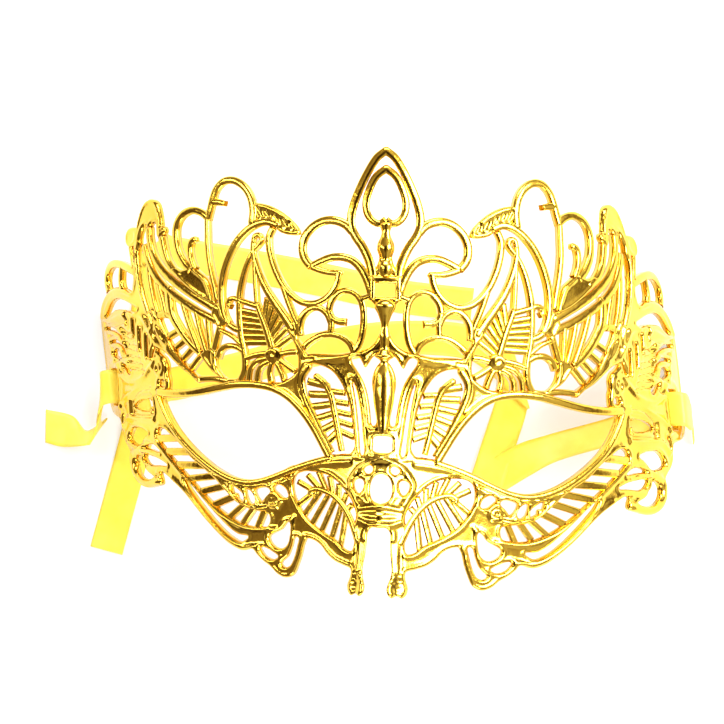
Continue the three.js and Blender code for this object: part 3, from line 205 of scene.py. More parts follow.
# Straps over the openings: a name, the width at each end, then the middle line.
STRAPS = [
    ("finial loop", 1.8, 2, [(0, 78.1), (2.4, 76.3), (4.7, 72.8), (6.9, 68.4), (8.8, 63.6),
     (9.7, 59.6), (9.6, 56.6), (8.5, 54), (6.6, 51.3), (5, 48.2), (4, 45.2), (3.6, 42.5)]),
    ("finial heart", 1.7, 1.4, [(0, 73), (2.7, 70.9), (4.7, 67), (5.6, 63.2), (5.1, 60.1), (3.5, 58.1),
     (1.7, 57.5), (0, 58.7)]),
    ("window post", 1.3, 1.3, [(3.6, 43), (3.7, 36)]),
    ("window sill", 1.4, 1.4, [(-0.6, 41.9), (3.6, 41.9)]),
    ("arch", 1.9, 1.6, [(4, 38.6), (4.9, 41.3), (6.7, 44.7), (9, 47), (12, 48), (15, 47.9), (18, 46.8),
     (21, 45.2)]),
    ("tongue", 1.2, 1.4, [(12.6, 43.5), (16, 43.7), (18.5, 44.3), (21, 45.3)]),
    ("small lobe", 2, 1.8, [(9.4, 55.3), (11, 57), (13.6, 58.2), (16.6, 58.4), (19.5, 57.4),
     (21.9, 55.3), (23.3, 52.8), (23.6, 50.2), (23, 47.7), (21, 45.2)]),
    ("great scroll", 1.3, 1.5, [(13, 43.4), (13.4, 41), (14.4, 38.8), (16, 36.8), (18, 35.4),
     (20.5, 34.7), (23.6, 35.2), (26.6, 37.1), (29.4, 40.2), (31.5, 43.9), (32.9, 47.6), (33.7, 51.3),
     (33.7, 54), (32.6, 56.4)]),
    ("curl", 1.4, 1.3, [(8.3, 21.4), (7, 23.4), (6.3, 25.8), (5.9, 28.4), (5.8, 31), (6, 33.6),
     (6.7, 36), (8.2, 37.8), (10.2, 38.6), (12.3, 38.3), (14, 36.9), (15.2, 34.9), (15.6, 32.6)]),
    ("curl tongue", 1.3, 1.6, [(15.6, 32.8), (14.8, 31), (13.2, 30), (10.5, 29.7)]),
    ("curl wall", 1.3, 1.1, [(15.6, 32.8), (15, 30.4), (15, 28), (15.2, 26)]),
    ("round loop", 1.2, 1.6, [(15.1, 29.6), (16.2, 32), (18.2, 33.5), (20.4, 33.5), (22.4, 32.2),
     (23.7, 30.2), (24.2, 27.8), (24, 25.6)]),
    ("curl link", 1.2, 1.2, [(4, 37.2), (6.8, 36.2)]),
    ("dome", 1.3, 1.3, [(8.4, 21.4), (9.6, 23.8), (11.8, 25.5), (14.4, 26.2), (17.2, 26), (19.6, 24.9),
     (21.4, 23.6), (22.6, 22.4)]),
    ("thorn", 1.2, 1.2, [(24.6, 28.6), (26.2, 32), (27.7, 35.6), (29.2, 39.6)]),
    ("brow leaf", 2.2, 1.1, [(26.2, 27.4), (28.4, 30.6), (30.8, 33.8), (33.3, 37.2), (35.4, 40.7),
     (37, 44.2), (38.1, 47.4), (38.6, 50.2), (38.6, 52.4)]),
    ("leaf curl", 1, 0.9, [(38.6, 52), (38.2, 54), (36.8, 54.3), (36, 53), (36.9, 51.4), (38.3, 50)]),
    ("leaf rib", 0.9, 0.9, [(38.1, 47), (37.9, 43), (37.6, 39), (37.2, 34.6)]),
    ("leaf back", 1, 1.5, [(38.6, 49.6), (40.2, 46.8), (41.5, 43.4), (42.4, 39.8), (42.9, 36.5),
     (43, 34.6)]),
    ("leaf hook", 1.2, 1, [(37, 33.8), (39.8, 34.6), (42.6, 35.4), (44.7, 36), (46.2, 35.5),
     (46.5, 34.2), (45.6, 33.5)]),
    ("outer leaf", 1.7, 1.6, [(31.6, 57.2), (34.6, 58.1), (38, 57.4), (41.5, 55.2), (44.7, 51.7),
     (47, 47.5), (48.5, 43), (49.1, 38.6), (48.8, 34.6), (47.9, 31.2), (46.4, 28.6)]),
    ("big lobe", 1.8, 1.6, [(39.3, 58), (39.1, 61.5), (40.2, 65.6), (42.4, 68.5), (45.7, 70.3),
     (49.1, 70.2), (51.6, 68.1), (52.9, 65), (53.6, 62), (54.4, 59)]),
    ("lobe thorn", 1.8, 1, [(52.9, 64.2), (51, 64.1), (48.3, 63.6)]),
    ("wing stem", 1.2, 1.3, [(54.5, 60), (54.3, 55.5), (54, 50.6), (53.3, 46.6), (52.3, 42.6),
     (51.3, 39), (50.5, 35.4)]),
    ("second lobe", 1.6, 2, [(54.5, 59.8), (57, 61.3), (60.3, 62), (63.4, 61.2), (65.5, 59.3),
     (66.5, 56.7), (66.4, 53.8), (65.7, 51), (64.3, 48.4), (62.4, 46.1), (60, 44.2)]),
    ("lobe feather", 1.4, 1.3, [(58.9, 53.3), (60.1, 52.9), (60.7, 51.2), (60.5, 48.8), (59.8, 46.8),
     (58.6, 44.6)]),
    ("first feather", 1.8, 2, [(64.5, 42.8), (67.5, 44.7), (70, 47.6), (71.5, 51), (72.6, 54.6)]),
    ("upper spar", 2, 1.7, [(50.6, 32.8), (55, 34.9), (60, 37.3), (65, 39.9), (70, 43), (74, 46.4),
     (76.8, 50.2), (78.2, 54), (78.6, 57.6)]),
    ("lower spar", 1.8, 1.9, [(51, 29.6), (57, 32), (62, 34.4), (67, 37), (72, 40), (75.5, 43),
     (78.2, 46.6), (79.8, 50), (80.6, 52.4)]),
    ("inner feather", 2.6, 1.6, [(69.4, 38.4), (69, 34.6), (68, 31.2), (65.8, 28.2), (63, 25.1),
     (60, 22.4), (56.4, 19.8)]),
    ("ladder crown", 1.4, 1.6, [(67.6, 31), (70.6, 31.6), (74, 31)]),
    ("second feather", 1.5, 1.5, [(70.5, 31.2), (71.3, 34.2), (72.4, 37.2), (73.8, 40.8)]),
    ("third feather", 1.6, 1.6, [(74.6, 31.8), (76.2, 35.6), (77.4, 39.6), (78.3, 43.4), (78.7, 46.6)]),
    ("hub quill one", 1, 1, [(53.9, 30.6), (53.5, 26), (52.9, 20.8)]),
    ("hub quill two", 1.1, 1.3, [(58.1, 32), (56.6, 26.6), (54.4, 20.4)]),
    ("hub quill three", 1.2, 1.5, [(63.4, 34.6), (60.7, 28), (57.2, 20.6)]),
    ("hub strap", 1.5, 1.6, [(49.4, 27.6), (50.5, 24.4), (51.6, 20.8)]),
    ("foot tie", 1.4, 1.4, [(42.7, 26.8), (44.4, 27.3), (46.6, 28.6)]),
    ("foot brace", 0.9, 0.9, [(42.2, 22.8), (45.4, 25.2), (49.4, 26.8)]),
    ("loop rim", 1.2, 1.3, [(41.4, 20.8), (43.8, 22), (46.8, 22.2), (49.2, 21), (50.4, 18.6)]),
    ("shell edge", 1.3, 1.5, [(42.9, 35), (42.9, 32), (42.7, 28.5), (42.3, 25), (41.5, 21.5), (41, 18),
     (41.3, 14.8), (42.6, 12.2)]),
    ("shell spine", 1.7, 1.2, [(32.3, 21.4), (33.6, 25.5), (35, 29.3), (36.3, 32.4), (37.2, 34.8)]),
    ("shell ray one", 1.1, 1.1, [(33.6, 20.4), (37.4, 19.8), (41.2, 18.6)]),
    ("shell ray two", 1.1, 1.2, [(33.6, 19), (37, 18), (39.1, 15.8), (39.8, 12.2)]),
    ("shell ray three", 1.1, 1.2, [(33.2, 18), (35.4, 16.8), (36.7, 14.8), (37, 12)]),
    ("shell ray four", 1.1, 1.2, [(32.4, 17.6), (33.1, 15), (32.6, 12)]),
    ("shell ray five", 1.1, 1.2, [(30.8, 17.6), (29.4, 15), (28.6, 12.8)]),
    ("shell ray six", 1.1, 1.2, [(29.8, 18.4), (27.4, 16.8), (25, 15.4)]),
    ("shell ray seven", 1.1, 1.2, [(29.4, 20.2), (27, 20.8), (24.4, 21)]),
    ("upper eye rim", 2.2, 2.4, [(14.6, -8.2), (17, -4.1), (19.2, -0.5), (21.6, 2.8), (24.4, 5.9),
     (27.8, 8.6), (32, 10.5), (37.5, 11.3), (44, 11.1), (50, 10.1), (57, 8.8), (63, 8.1), (69, 7.9),
     (75, 8.2)]),
    ("lower eye rim", 2, 2, [(14.6, -8.6), (20, -10.3), (25, -12.2), (30, -14.4), (35, -16.2),
     (40, -16.9), (45, -16.3), (50.3, -14.5), (55.4, -11.9), (60.4, -8.8), (65.6, -5), (69.8, -1),
     (73.1, 3.4), (75.4, 7.4)]),
    ("root bar", 1.2, 1.2, [(47, 12), (51.6, 12.6), (57, 12.4)]),
    ("nose fern spine", 1.3, 1.1, [(19, 14.2), (16.4, 12), (14.8, 9), (13.8, 5), (12.9, 1), (12, -3),
     (11.2, -6.4)]),
    ("nose fern edge", 1.6, 1.5, [(21.4, 17), (23.4, 13.6), (22.9, 9.6), (21.4, 6), (19.6, 2.6),
     (17.8, -0.8), (16, -3.8), (14.2, -7)]),
    ("nose leaf spine", 1.2, 1, [(5.4, -31), (7.6, -25.6), (10, -21.8), (13, -19), (16, -17.7),
     (18.4, -17.4), (20, -18.3), (19.6, -19.6)]),
    ("fourth lobe", 1.8, 1.8, [(86.2, 44.4), (90, 45.6), (95, 46.9), (100, 47.3), (104, 46.3),
     (106.6, 44), (107, 41.2), (105.4, 38.6)]),
    ("lobe divider", 1.2, 1.6, [(94.2, 46.4), (94.9, 43.4), (95, 41), (94, 39)]),
    ("pad stalk", 1.2, 1.4, [(88.2, 51.8), (87.3, 49), (86.4, 45.6)]),
]

# Ladders of even bars: a name, a bar width, a number of bars, then the two rails.
LADDERS = [
    ("outer cheek bars", 1.75, 3, [(70.4, -3.25), (53.7, -14.65)], [(80.4, -3.85), (65.6, -14.95)]),
    ("middle cheek bars", 1.65, 3, [(53.95, -14.25), (42.85, -22.35)], [(65, -15.1), (49.9, -25.7)]),
    ("inner cheek bars", 1.5, 3, [(43.2, -22.8), (33, -25.1)], [(49.4, -26.7), (34.4, -30.4)]),
    ("wing bars", 1.5, 4, [(65.9, 28.3), (62.4, 24.5), (58.6, 21), (55.2, 18.2)],
     [(71, 26.6), (67.6, 22), (63.6, 17.8), (58.8, 14.2)]),
    ("shell bars", 1.05, 6, [(33.2, 22.8), (34.6, 27), (36.4, 32.2)],
     [(41.6, 22.4), (42.5, 28), (43, 33.6)]),
    ("shell barbs", 1.05, 6, [(30.4, 21.4), (32, 23.6), (33.4, 26.4), (35.2, 30.6)],
     [(25.6, 24.4), (28.4, 29), (31, 33), (34.8, 37.4)]),
    ("nose fern left", 1.4, 5, [(14.5, 11.6), (13.8, 5.5), (12, -2)],
     [(11.2, 11.4), (8.8, 3.6), (7.6, -4)]),
    ("nose fern right", 1.2, 6, [(16.6, 13), (14.4, 7), (12.4, -2.6)],
     [(21.8, 14.6), (20.4, 5.6), (14.6, -5.8)]),
    ("nose leaf upper", 1.3, 7, [(8.6, -23.8), (12.4, -19.2), (17, -17.4), (19.9, -18.4)],
     [(6.6, -22.6), (10.6, -16.4), (18, -12.5), (25.4, -16.6)]),
    ("nose leaf lower", 1.3, 6, [(8.4, -24.4), (12.4, -19.4), (17, -17.6), (20, -19)],
     [(8.8, -33.8), (13.6, -30.4), (19.6, -27), (24.6, -20.6)]),
]

# Turned profiles of the middle line: places up it and radii.
STEM = [(-1.6, 0), (-1, 0.9), (4, 2), (10, 2.9), (15, 2.4), (19, 1.1), (20.4, 2.6), (22.4, 1.2),
        (26, 1.5), (29, 1), (32, 1.9), (34.6, 3), (36.2, 1.6), (36.4, 0)]
DROP = [(42.6, 0), (43, 1.4), (45.6, 1.9), (47.4, 1), (50.6, 2), (53.6, 1.3), (55.6, 1.1),
        (57.6, 1.5), (58, 0)]

# Ribs and grooves cast on the solid areas: a name, a height, a half width, then the line.
RIBS = [
    ("arch rim", 0.7, 0.8, [(0, -7.9), (3.2, -9), (5.8, -11), (7.6, -13.6), (8, -16), (7, -18.5),
     (5.8, -20.4)]),
    ("crossbar top", 0.55, 0.7, [(0, -21.3), (3, -21.4), (5.2, -21.9)]),
    ("crossbar foot", 0.55, 0.7, [(0, -26.2), (3, -26), (5.2, -25.2)]),
    ("crossbar middle", 0.4, 0.9, [(0, -23.7), (4.6, -23.7)]),
    ("prong waist", -0.45, 0.5, [(2.6, -41.4), (7.2, -41.2)]),
    ("toe groove", -0.5, 0.4, [(5, -43.4), (5, -46)]),
    ("nose flank", 0.45, 0.8, [(8.8, -9.2), (14, -9.8), (19.6, -11)]),
    ("finial groove one", -0.45, 0.45, [(0, 43.4), (4, 43.4)]),
    ("finial groove two", -0.45, 0.45, [(0, 48), (2.6, 48)]),
    ("temple rib one", 0.6, 0.8, [(78, 16), (84, 12), (92, 11), (99, 13)]),
    ("temple rib two", 0.6, 0.8, [(77.4, 26), (82, 31), (88, 31.4), (96, 31), (104, 29.8),
     (112, 29.8)]),
    ("temple rib three", 0.55, 0.8, [(76, 9), (82, 8.6), (90, 7.8), (98, 5.6), (101, 3)]),
    ("temple rib four", 0.5, 0.8, [(78.2, -0.2), (84, 0), (90, 0.2), (96, -0.4), (99.4, -3)]),
    ("shoulder rib", 0.6, 0.8, [(57, 12.2), (62, 15.2), (67, 18.6), (71.4, 22.6), (75, 28), (76.2, 33)]),
    ("rail", 0.55, 0.8, [(84, 50), (83.4, 44.6), (81.4, 38.6), (78.4, 32.6), (77, 27)]),
    ("temple edge", 0.5, 0.8, [(88, 38), (94, 38.4), (100, 38.4), (106, 36.8), (111, 34),
     (114, 31)]),
    ("slot rim", 0.5, 0.8, [(100.4, 3.2), (100.4, 15.8), (109.6, 15.8), (109.6, 3.2),
     (100.4, 3.2)]),
    ("cheek rib one", 0.5, 0.7, [(26, -15.2), (32, -17.2), (40, -18), (46, -17.2), (52, -15)]),
    ("cheek rib two", 0.45, 0.7, [(30, -23.2), (36, -23.8), (42, -23.2), (48, -19.6), (55.6, -14.6),
     (64, -9), (70, -4.8), (75.4, -1.6)]),
    ("cheek rib three", 0.45, 0.7, [(31, -29.6), (40, -30.2), (48, -27.6), (56, -22.4), (64, -16),
     (72, -10), (77, -5.8)]),
    ("jaw rib", 0.5, 0.8, [(37, -35), (43, -35), (49, -32), (56, -27), (63, -21.2), (70, -17.4)]),
    ("side rib", 0.5, 0.8, [(78.4, -18.6), (84, -19.4), (90, -18.4), (93.8, -15.4), (94, -11.2),
     (90, -9.4), (84, -9.8), (78, -10.6)]),
    ("bridge rib", 0.5, 0.8, [(8.8, 20.4), (14, 19.2), (19, 19)]),
]

# Even fans of ribs or grooves: a name, a height, a half width, a number, the first and the last.
FANS = [
    ("lobe ropes", -0.55, 0.5, 7, [(24, 55.4), (24.6, 56.8)], [(37.6, 58.6), (40.6, 63.4)]),
    ("temple feathers", -1.1, 0.5, 7, [(82.4, 13.9), (86.6, 15), (91, 15.2)],
     [(88.6, 25.4), (92, 25.8), (96, 27.4)]),
    ("temple tips", -0.8, 0.5, 5, [(93, 29.6), (101, 28.4), (111, 29.2)],
     [(92.4, 14.4), (96.4, 14.6), (100, 13.4)]),
    ("upper wing feathers", -0.5, 0.6, 3, [(76.4, 34), (72.8, 30), (68.4, 27.4)],
     [(79.6, 30.6), (76.6, 26), (71, 21.6)]),
    ("outer feathers", -1.0, 0.5, 5, [(79.6, 9.2), (86, 8.4), (93, 5.2)],
     [(79.4, 0.8), (86, 0.6), (93, 1.4)]),
    ("lower feathers", -0.9, 0.5, 4, [(78.4, -7.4), (84, -7), (90, -8)],
     [(77.4, -16.4), (80.6, -17), (84.4, -16.6)]),
    ("prong grooves", -0.5, 0.4, 2, [(3.7, -31), (4, -35), (4.4, -39)],
     [(5.6, -31), (5.6, -35), (5.8, -39)]),
    ("cheek feathers", 0.35, 0.5, 3, [(29, -14.8), (36, -17), (44, -17.4)],
     [(24.6, -25.6), (27, -29), (30, -31.6)]),
]
# Spirals cast on discs: a name, a height, a half width, a middle, an outer radius and turns.
COILS = [
    ("snail", 0.55, 0.5, (74.4, 15.4), 2.9, 1.6),
    ("cheek coil", 0.6, 0.55, (31, -21.6), 2.5, 1.5),
    ("shell boss", 0.7, 0.8, (32, 19.8), 1.7, 1.0),
]

# The part of the flat pattern that the grid covers: left, bottom, right and top.
PATTERN_BOX = (0, -48, 119, 81)
# How far round a shape its distances are worked out, and the distance beyond that.
NEAR_MARGIN = 3.0
FAR_OUTSIDE = -5.0
# Squares of a length beyond all distances, and of the shortest that is divided by.
FARTHEST = 1e9
SHORTEST_SQUARED = 1e-12
# Steps along the outlines, the cuts, the straps' own lines and the ladders' rails.
OUTLINE_STEP = 0.8
CUT_STEP = 0.6
LINE_STEP = 0.3
RAIL_STEP = 0.1
# The rounded front: how far it rounds down at a rim, the low bead inside the rim, and how
# much the back is eased at its rim.
RIM_ROUND = 0.7
RIM_FALL = 0.8
BEAD_PLACE = 0.75
BEAD_WIDTH = 0.5
BEAD_HEIGHT = 0.28
BACK_EASE = 0.12
# Relief: how many half widths a rib reaches, how far it may rise or sink, and the width over
# which it fades at a rim. A coil has so many points and loses this share of its radius.
RIB_REACH = 3
RELIEF_LIMIT = 1.2
RELIEF_FADE = 0.5
COIL_POINTS = 40
COIL_SHRINK = 0.8
# Straps and bars: how high their tops stand, how far down the round part goes, the step
# along them and the points over the top.
STRAP_TOP = 1.15
RIM_TOP = 1.8
RUNG_TOP = 0.8
STRAP_CROWN = 0.75
RIM_CROWN = 0.9
RUNG_CROWN = 0.5
STRAP_STEP = 0.55
CROWN_POINTS = 9
# How much wider the straps are than their lines say, and how many times wider the bars
# are: those narrower than the first width by the last figure, the others by the middle one.
STRAP_SPREAD = 0.65
FINE_RUNG = 1.3
RUNG_SPREAD = 1.3
FINE_SPREAD = 1.85
# A strap's section: how square its crown is and how wide its foot is. Its round ends: the
# turns of their rings, and how thin they get.
CROWN_SQUARENESS = 0.7
SECTION_FOOT = 0.94
END_TURNS = (80, 50, 22)
END_THINNESS = 0.35
# The stem: its sides, how flat it is pressed, the step along it and its smallest radius.
STEM_SIDES = 32
STEM_SQUASH = 0.62
STEM_STEP = 0.4
STEM_TIP = 0.02

# The ribbons, in millimetres from the mask's own zero and the floor: x, y, z, and marks.
# lean tilts the band, across sets its cross line's angle, fold turns it over there.
RIBBON_WIDTH = 10.0
RIBBON_THICKNESS = 0.34
FOLD_RADIUS = 0.45
LEFT_ROUTE = [
    (-106.2, 0.3, 0.5, {"across": 90}), (-99.6, -1.2, 1.6, {"lean": -14}),
    (-93, -3.2, 5.2, {"lean": -68}), (-89.6, -0.8, 3.6, {"lean": -36, "across": 62}),
    (-88.9, 4.2, 5.4, {"lean": -28, "across": 70}), (-88.4, 8.8, 8.8, {"lean": -10, "across": 84}),
    (-87.8, 11.4, 11.2, {"across": 94}), (-85.9, 12.1, 12, {"across": 96}),
    (-82.8, 12.1, 10.8, {"across": 96}), (-79.6, 11.9, 8.9, {"across": 96}),
    (-77.8, 11, 5.4, {"across": 94}), (-75, 8.6, 3.8, {"fold": -1}), (-77.4, 1, 1.7),
    (-80.4, -10, 0.5), (-87.4, -37, 0.5),
]
RIGHT_ROUTE = [
    (87.6, 1.5, 0.5, {"across": 96}), (87.5, 3.6, 4.4, {"across": 96}),
    (86.6, 5.8, 9, {"across": 96}), (84.6, 6.9, 11.9, {"across": 96}),
    (80.8, 6.9, 10.7, {"across": 96}), (77.6, 6.4, 8.6, {"across": 94}), (75, 4.8, 5),
    (68, 1.6, 3.6, {"lean": -35}), (46, -5, 3.4, {"lean": -35}), (38, -8.4, 1.6, {"lean": -12}),
    (26.6, -15.6, 0.5, {"fold": 1}), (29.6, -6, 1.2), (32.8, 4, 0.5),
    (36.4, 15.6, 0.5, {"fold": 1}), (28, 23, 1.2), (20, 26.6, 0.5), (-4, 27.4, 0.5),
    (-26.3, 23.6, 0.5), (-48.8, 17.7, 0.5), (-66, 13.6, 0.5), (-74.4, 12, 0.5, {"fold": 1}),
    (-75.2, 24, 1.2), (-75.6, 36, 0.5), (-74.6, 54, 0.5, {"fold": 1}), (-62, 51.6, 1.2),
    (-48, 49.4, 0.5), (-23.3, 44.9, 0.5), (0.6, 40, 0.5), (22, 37.6, 0.5),
]
# Columns across a ribbon, how much thicker its edges are and where they start, steps along
# its route and between its rows, the length and slant of its waves, and gaps to the floor.
RIBBON_COLUMNS = 9
SELVAGE = 0.25
SELVAGE_START = 0.9
ROUTE_STEP = 0.6
ROW_STEP = 0.7
WAVE_LENGTH = 23
WAVE_SLANT = 1.7
FLOOR_GAP = 0.05
LOWEST = 0.02

# Points nearer than this are merged, in metres. Places that agree in so many digits are one,
# and no normal is divided by less than the third. Then the name of the ribbons' map.
MERGE_DISTANCE = 2e-7
PLACE_DIGITS = 6
SHORTEST = 1e-9
RIBBON_MAP = "ribbon"

# The gold: scale and detail of its noises, strength and height of its bumps, its colours.
GOLD_PATCHES = (45, 3)
GOLD_BLOOM = (260, 4)
CAST_SKIN = (420, 2)
POLISH_MARKS = (2600, 2)
CAST_BUMP = (0.35, 0.00025)
POLISH_BUMP = (0.12, 0.00004)
GOLD_STOPS = [(0.3, (0.84, 0.5, 0.045)), (0.55, (0.92, 0.58, 0.06)), (0.75, (0.97, 0.66, 0.1))]
GOLD_GLOSS = {"To Min": 0.09, "To Max": 0.22}
GOLD_FINISH = {"Metallic": 1.0, "Coat Weight": 0.25, "Coat Roughness": 0.06}
# The satin: the direction and scale of its threads and how much they wander, then the same.
THREADS = [("X", 900), ("Y", 420)]
THREAD_WANDER = 0.6
SATIN_CLOUDS = (160, 3)
WARP_BUMP = (0.3, 0.00005)
WEFT_BUMP = (0.2, 0.00004)
SATIN_STOPS = [(0.3, (0.93, 0.7, 0.055)), (0.7, (0.99, 0.78, 0.09))]
SATIN_FINISH = {"Roughness": 0.42, "Sheen Weight": 0.25, "Sheen Roughness": 0.4}
# The floor: how far it reaches each way, its mottle, and its glow as a share of white.
FLOOR_REACH = 30.0
FLOOR_MOTTLE = (14, 2)
FLOOR_STOPS = [(0.2, (0.46, 0.46, 0.46)), (0.8, (0.5, 0.5, 0.5))]
FLOOR_FINISH = {"Roughness": 0.85, "Emission Color": (1, 1, 1, 1), "Emission Strength": 0.5}

# The camera: how far above the crown it is, its turn and roll, its focal length in the
# picture's pixels, where the picture's middle lies from the crown's line of sight, and the
# nearest and farthest it sees.
CAMERA_DISTANCE = 0.9
CAMERA_YAW = -3.604
CAMERA_ROLL = -0.5175
CAMERA_FOCUS = 3226.5
PICTURE_WIDTH = 724
SENSOR_WIDTH = 36.0
AIM_RIGHT = -0.006809
AIM_UP = 0.021073
CAMERA_CLIP = (0.05, 20)

# The colour inputs and output of a mixing node, which has others for numbers and vectors.
COLOUR_A = 6
COLOUR_B = 7
COLOUR_RESULT = 2

# The surround: the middle of its dark patch, and colours by nearness to it, height and side.
DARK_PATCH = (-0.2, 0.05, 0.97)
DARK_PATCH_STOPS = [(0.92, (1, 1, 1)), (0.955, (0.26, 0.16, 0.06)), (1.0, (0.1, 0.06, 0.03))]
HORIZON_STOPS = [(0.0, (0.85, 0.82, 0.77)), (0.03, (0.8, 0.76, 0.7)), (0.07, (0.18, 0.12, 0.06)),
                 (0.16, (0.22, 0.15, 0.08)), (0.26, (0.9, 0.86, 0.8)),
                 (0.45, (1, 1, 1)), (0.56, (0.6, 0.5, 0.36)), (0.68, (0.9, 0.87, 0.8)),
                 (0.86, (1, 1, 1)), (0.93, (0.4, 0.33, 0.24))]
SIDE_STOPS = [(0.1, (0.36, 0.28, 0.18)), (0.45, (0.6, 0.54, 0.46)), (0.6, (1, 1, 1))]

# Soft lights: where they aim, then a name, a place, a size, a share of the power that the
# settings give and a colour.
LIGHT_TARGET = (0, 0, 0.02)
LIGHTS = [
    ("key light", (0.75, 0.35, 0.9), (0.5, 0.7), 2.8, (1, 0.99, 0.96)),
    ("left light", (-0.8, 0.3, 0.75), (0.12, 0.9), 0.4, (1, 1, 0.97)),
    ("top light", (0.0, 0.95, 0.7), (0.8, 0.3), 1.1, (1, 1, 1)),
    ("foot light", (0.1, -0.95, 0.6), (0.8, 0.25), 1.0, (1, 1, 1)),
]


def spline(knots, step, closed=False):
    """Points on a centripetal Catmull-Rom curve through the knots.

    Between two knots the curve is the nested blend of the four nearest knots, with the
    square root of their distances as the parameter.
    """
    knots = np.array(knots, float)
    count = len(knots)
    spans = count if closed else count - 1
    points = []
    for i in range(spans):
        b, c = knots[i], knots[(i + 1) % count]
        a = knots[i - 1] if closed or i > 0 else 2 * b - c
        d = knots[(i + 2) % count] if closed or i < count - 2 else 2 * c - b
        t0 = 0.0
        t1 = t0 + np.linalg.norm(b - a) ** 0.5
        t2 = t1 + np.linalg.norm(c - b) ** 0.5
        t3 = t2 + np.linalg.norm(d - c) ** 0.5
        pieces = max(1, int(np.ceil(np.linalg.norm(c - b) / step)))
        t = np.linspace(t1, t2, pieces, endpoint=False)[:, None]
        ab = (t1 - t) / (t1 - t0) * a + (t - t0) / (t1 - t0) * b
        bc = (t2 - t) / (t2 - t1) * b + (t - t1) / (t2 - t1) * c
        cd = (t3 - t) / (t3 - t2) * c + (t - t2) / (t3 - t2) * d
        abc = (t2 - t) / (t2 - t0) * ab + (t - t0) / (t2 - t0) * bc
        bcd = (t3 - t) / (t3 - t1) * bc + (t - t1) / (t3 - t1) * cd
        points.append((t2 - t) / (t2 - t1) * abc + (t - t1) / (t2 - t1) * bcd)
    if not closed:
        points.append(knots[-1:])
    return np.concatenate(points)


def resampled(line, step):
    """The same line with points at even steps along it."""
    lengths = np.r_[0, np.cumsum(np.linalg.norm(np.diff(line, axis=0), axis=1))]
    marks = np.linspace(0, lengths[-1], max(3, int(np.ceil(lengths[-1] / step)) + 1))
    return np.stack([np.interp(marks, lengths, line[:, k]) for k in range(line.shape[1])], axis=1)


def bulge(u, v):
    """How far the sheet stands out from the cylinder.

    Ridge times (3 + 16 * nose), less 0.0012 * (v - 20)^2 up the crown, where ridge is
    exp(-hypot(u, 2) / 14) and nose grows from 0 at v = 12 as ((12 - v) / 60)^1.3.
    """
    ridge = np.maximum(np.exp(-np.hypot(u, RIDGE_BLUNT) / RIDGE_REACH) - RIDGE_END, 0)
    nose = np.clip((NOSE_TOP - v) / NOSE_LENGTH, 0, 1) ** NOSE_SWELL
    crown = CROWN_LEAN * np.clip(v - CROWN_START, 0, None) ** 2
    return (RIDGE_HEIGHT + NOSE_HEIGHT * nose) * ridge - crown


def bent(u, v, height):
    """Places of the flat pattern in the frame: r = 88 + bulge + height at the angle u / 88.

    The flex then moves x by -0.001884 * v * (88 - z) and y by x * (0.00042 * v - 0.0359).
    """
    reach = FACE_RADIUS + bulge(u, v) + height
    angle = u / FACE_RADIUS
    x = reach * np.sin(angle)
    z = reach * np.cos(angle)
    flexed_x = x - FLEX_TWIST * v * (FACE_RADIUS - z)
    flexed_y = v + x * (FLEX_LEAN + FLEX_FAN * v)
    above = np.maximum(z - FLOOR_DROP, LOWEST)
    return np.stack([flexed_x * MM + ORIGIN_X, flexed_y * MM + ORIGIN_Y, above * MM], axis=-1)


def placed(name, data):
    """An object with this data, linked to the scene."""
    thing = bpy.data.objects.new(name, data)
    bpy.context.collection.objects.link(thing)
    return thing


def new_piece(name, points, faces, material):
    """A mesh object of these points and faces, with doubled points merged."""
    mesh = bpy.data.meshes.new(name)
    mesh.from_pydata(points.tolist(), [], [face for group in faces for face in group.tolist()])
    work = bmesh.new()
    work.from_mesh(mesh)
    bmesh.ops.remove_doubles(work, verts=work.verts, dist=MERGE_DISTANCE)
    work.to_mesh(mesh)
    work.free()
    mesh.polygons.foreach_set("use_smooth", np.ones(len(mesh.polygons), bool))
    mesh.materials.append(material)
    mesh.update()
    piece = placed(name, mesh)
    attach(piece, "root")
    return piece


def both_halves(u, v, height, faces):
    """Both halves in the frame: the right half's points and faces, and their mirror images."""
    mirrored = [group[:, ::-1] + len(u) for group in faces]
    points = np.concatenate([bent(u, v, height), bent(-u, v, height)])
    return points, list(faces) + mirrored


def segment_gaps(u, v, starts, ends):
    """The squared distance from each place to the nearest of these segments."""
    best = np.full(u.shape, FARTHEST)
    for (au, av), (eu, ev) in zip(starts, ends - starts):
        length = max(eu * eu + ev * ev, SHORTEST_SQUARED)
        share = np.clip(((u - au) * eu + (v - av) * ev) / length, 0, 1)
        best = np.minimum(best, (u - au - share * eu) ** 2 + (v - av - share * ev) ** 2)
    return best


def polygon_distance(u, v, outline):
    """Signed distance from each place to a closed outline, positive inside it."""
    following = np.roll(outline, -1, axis=0)
    inside = np.zeros(u.shape, bool)
    for (au, av), (bu, bv) in zip(outline, following):
        if av != bv:
            inside ^= ((av > v) != (bv > v)) & (u < au + (bu - au) * (v - av) / (bv - av))
    return np.where(inside, 1, -1) * np.sqrt(segment_gaps(u, v, outline, following))


def line_distance(u, v, line):
    """Distance from each place to an open line."""
    return np.sqrt(segment_gaps(u, v, line[:-1], line[1:]))


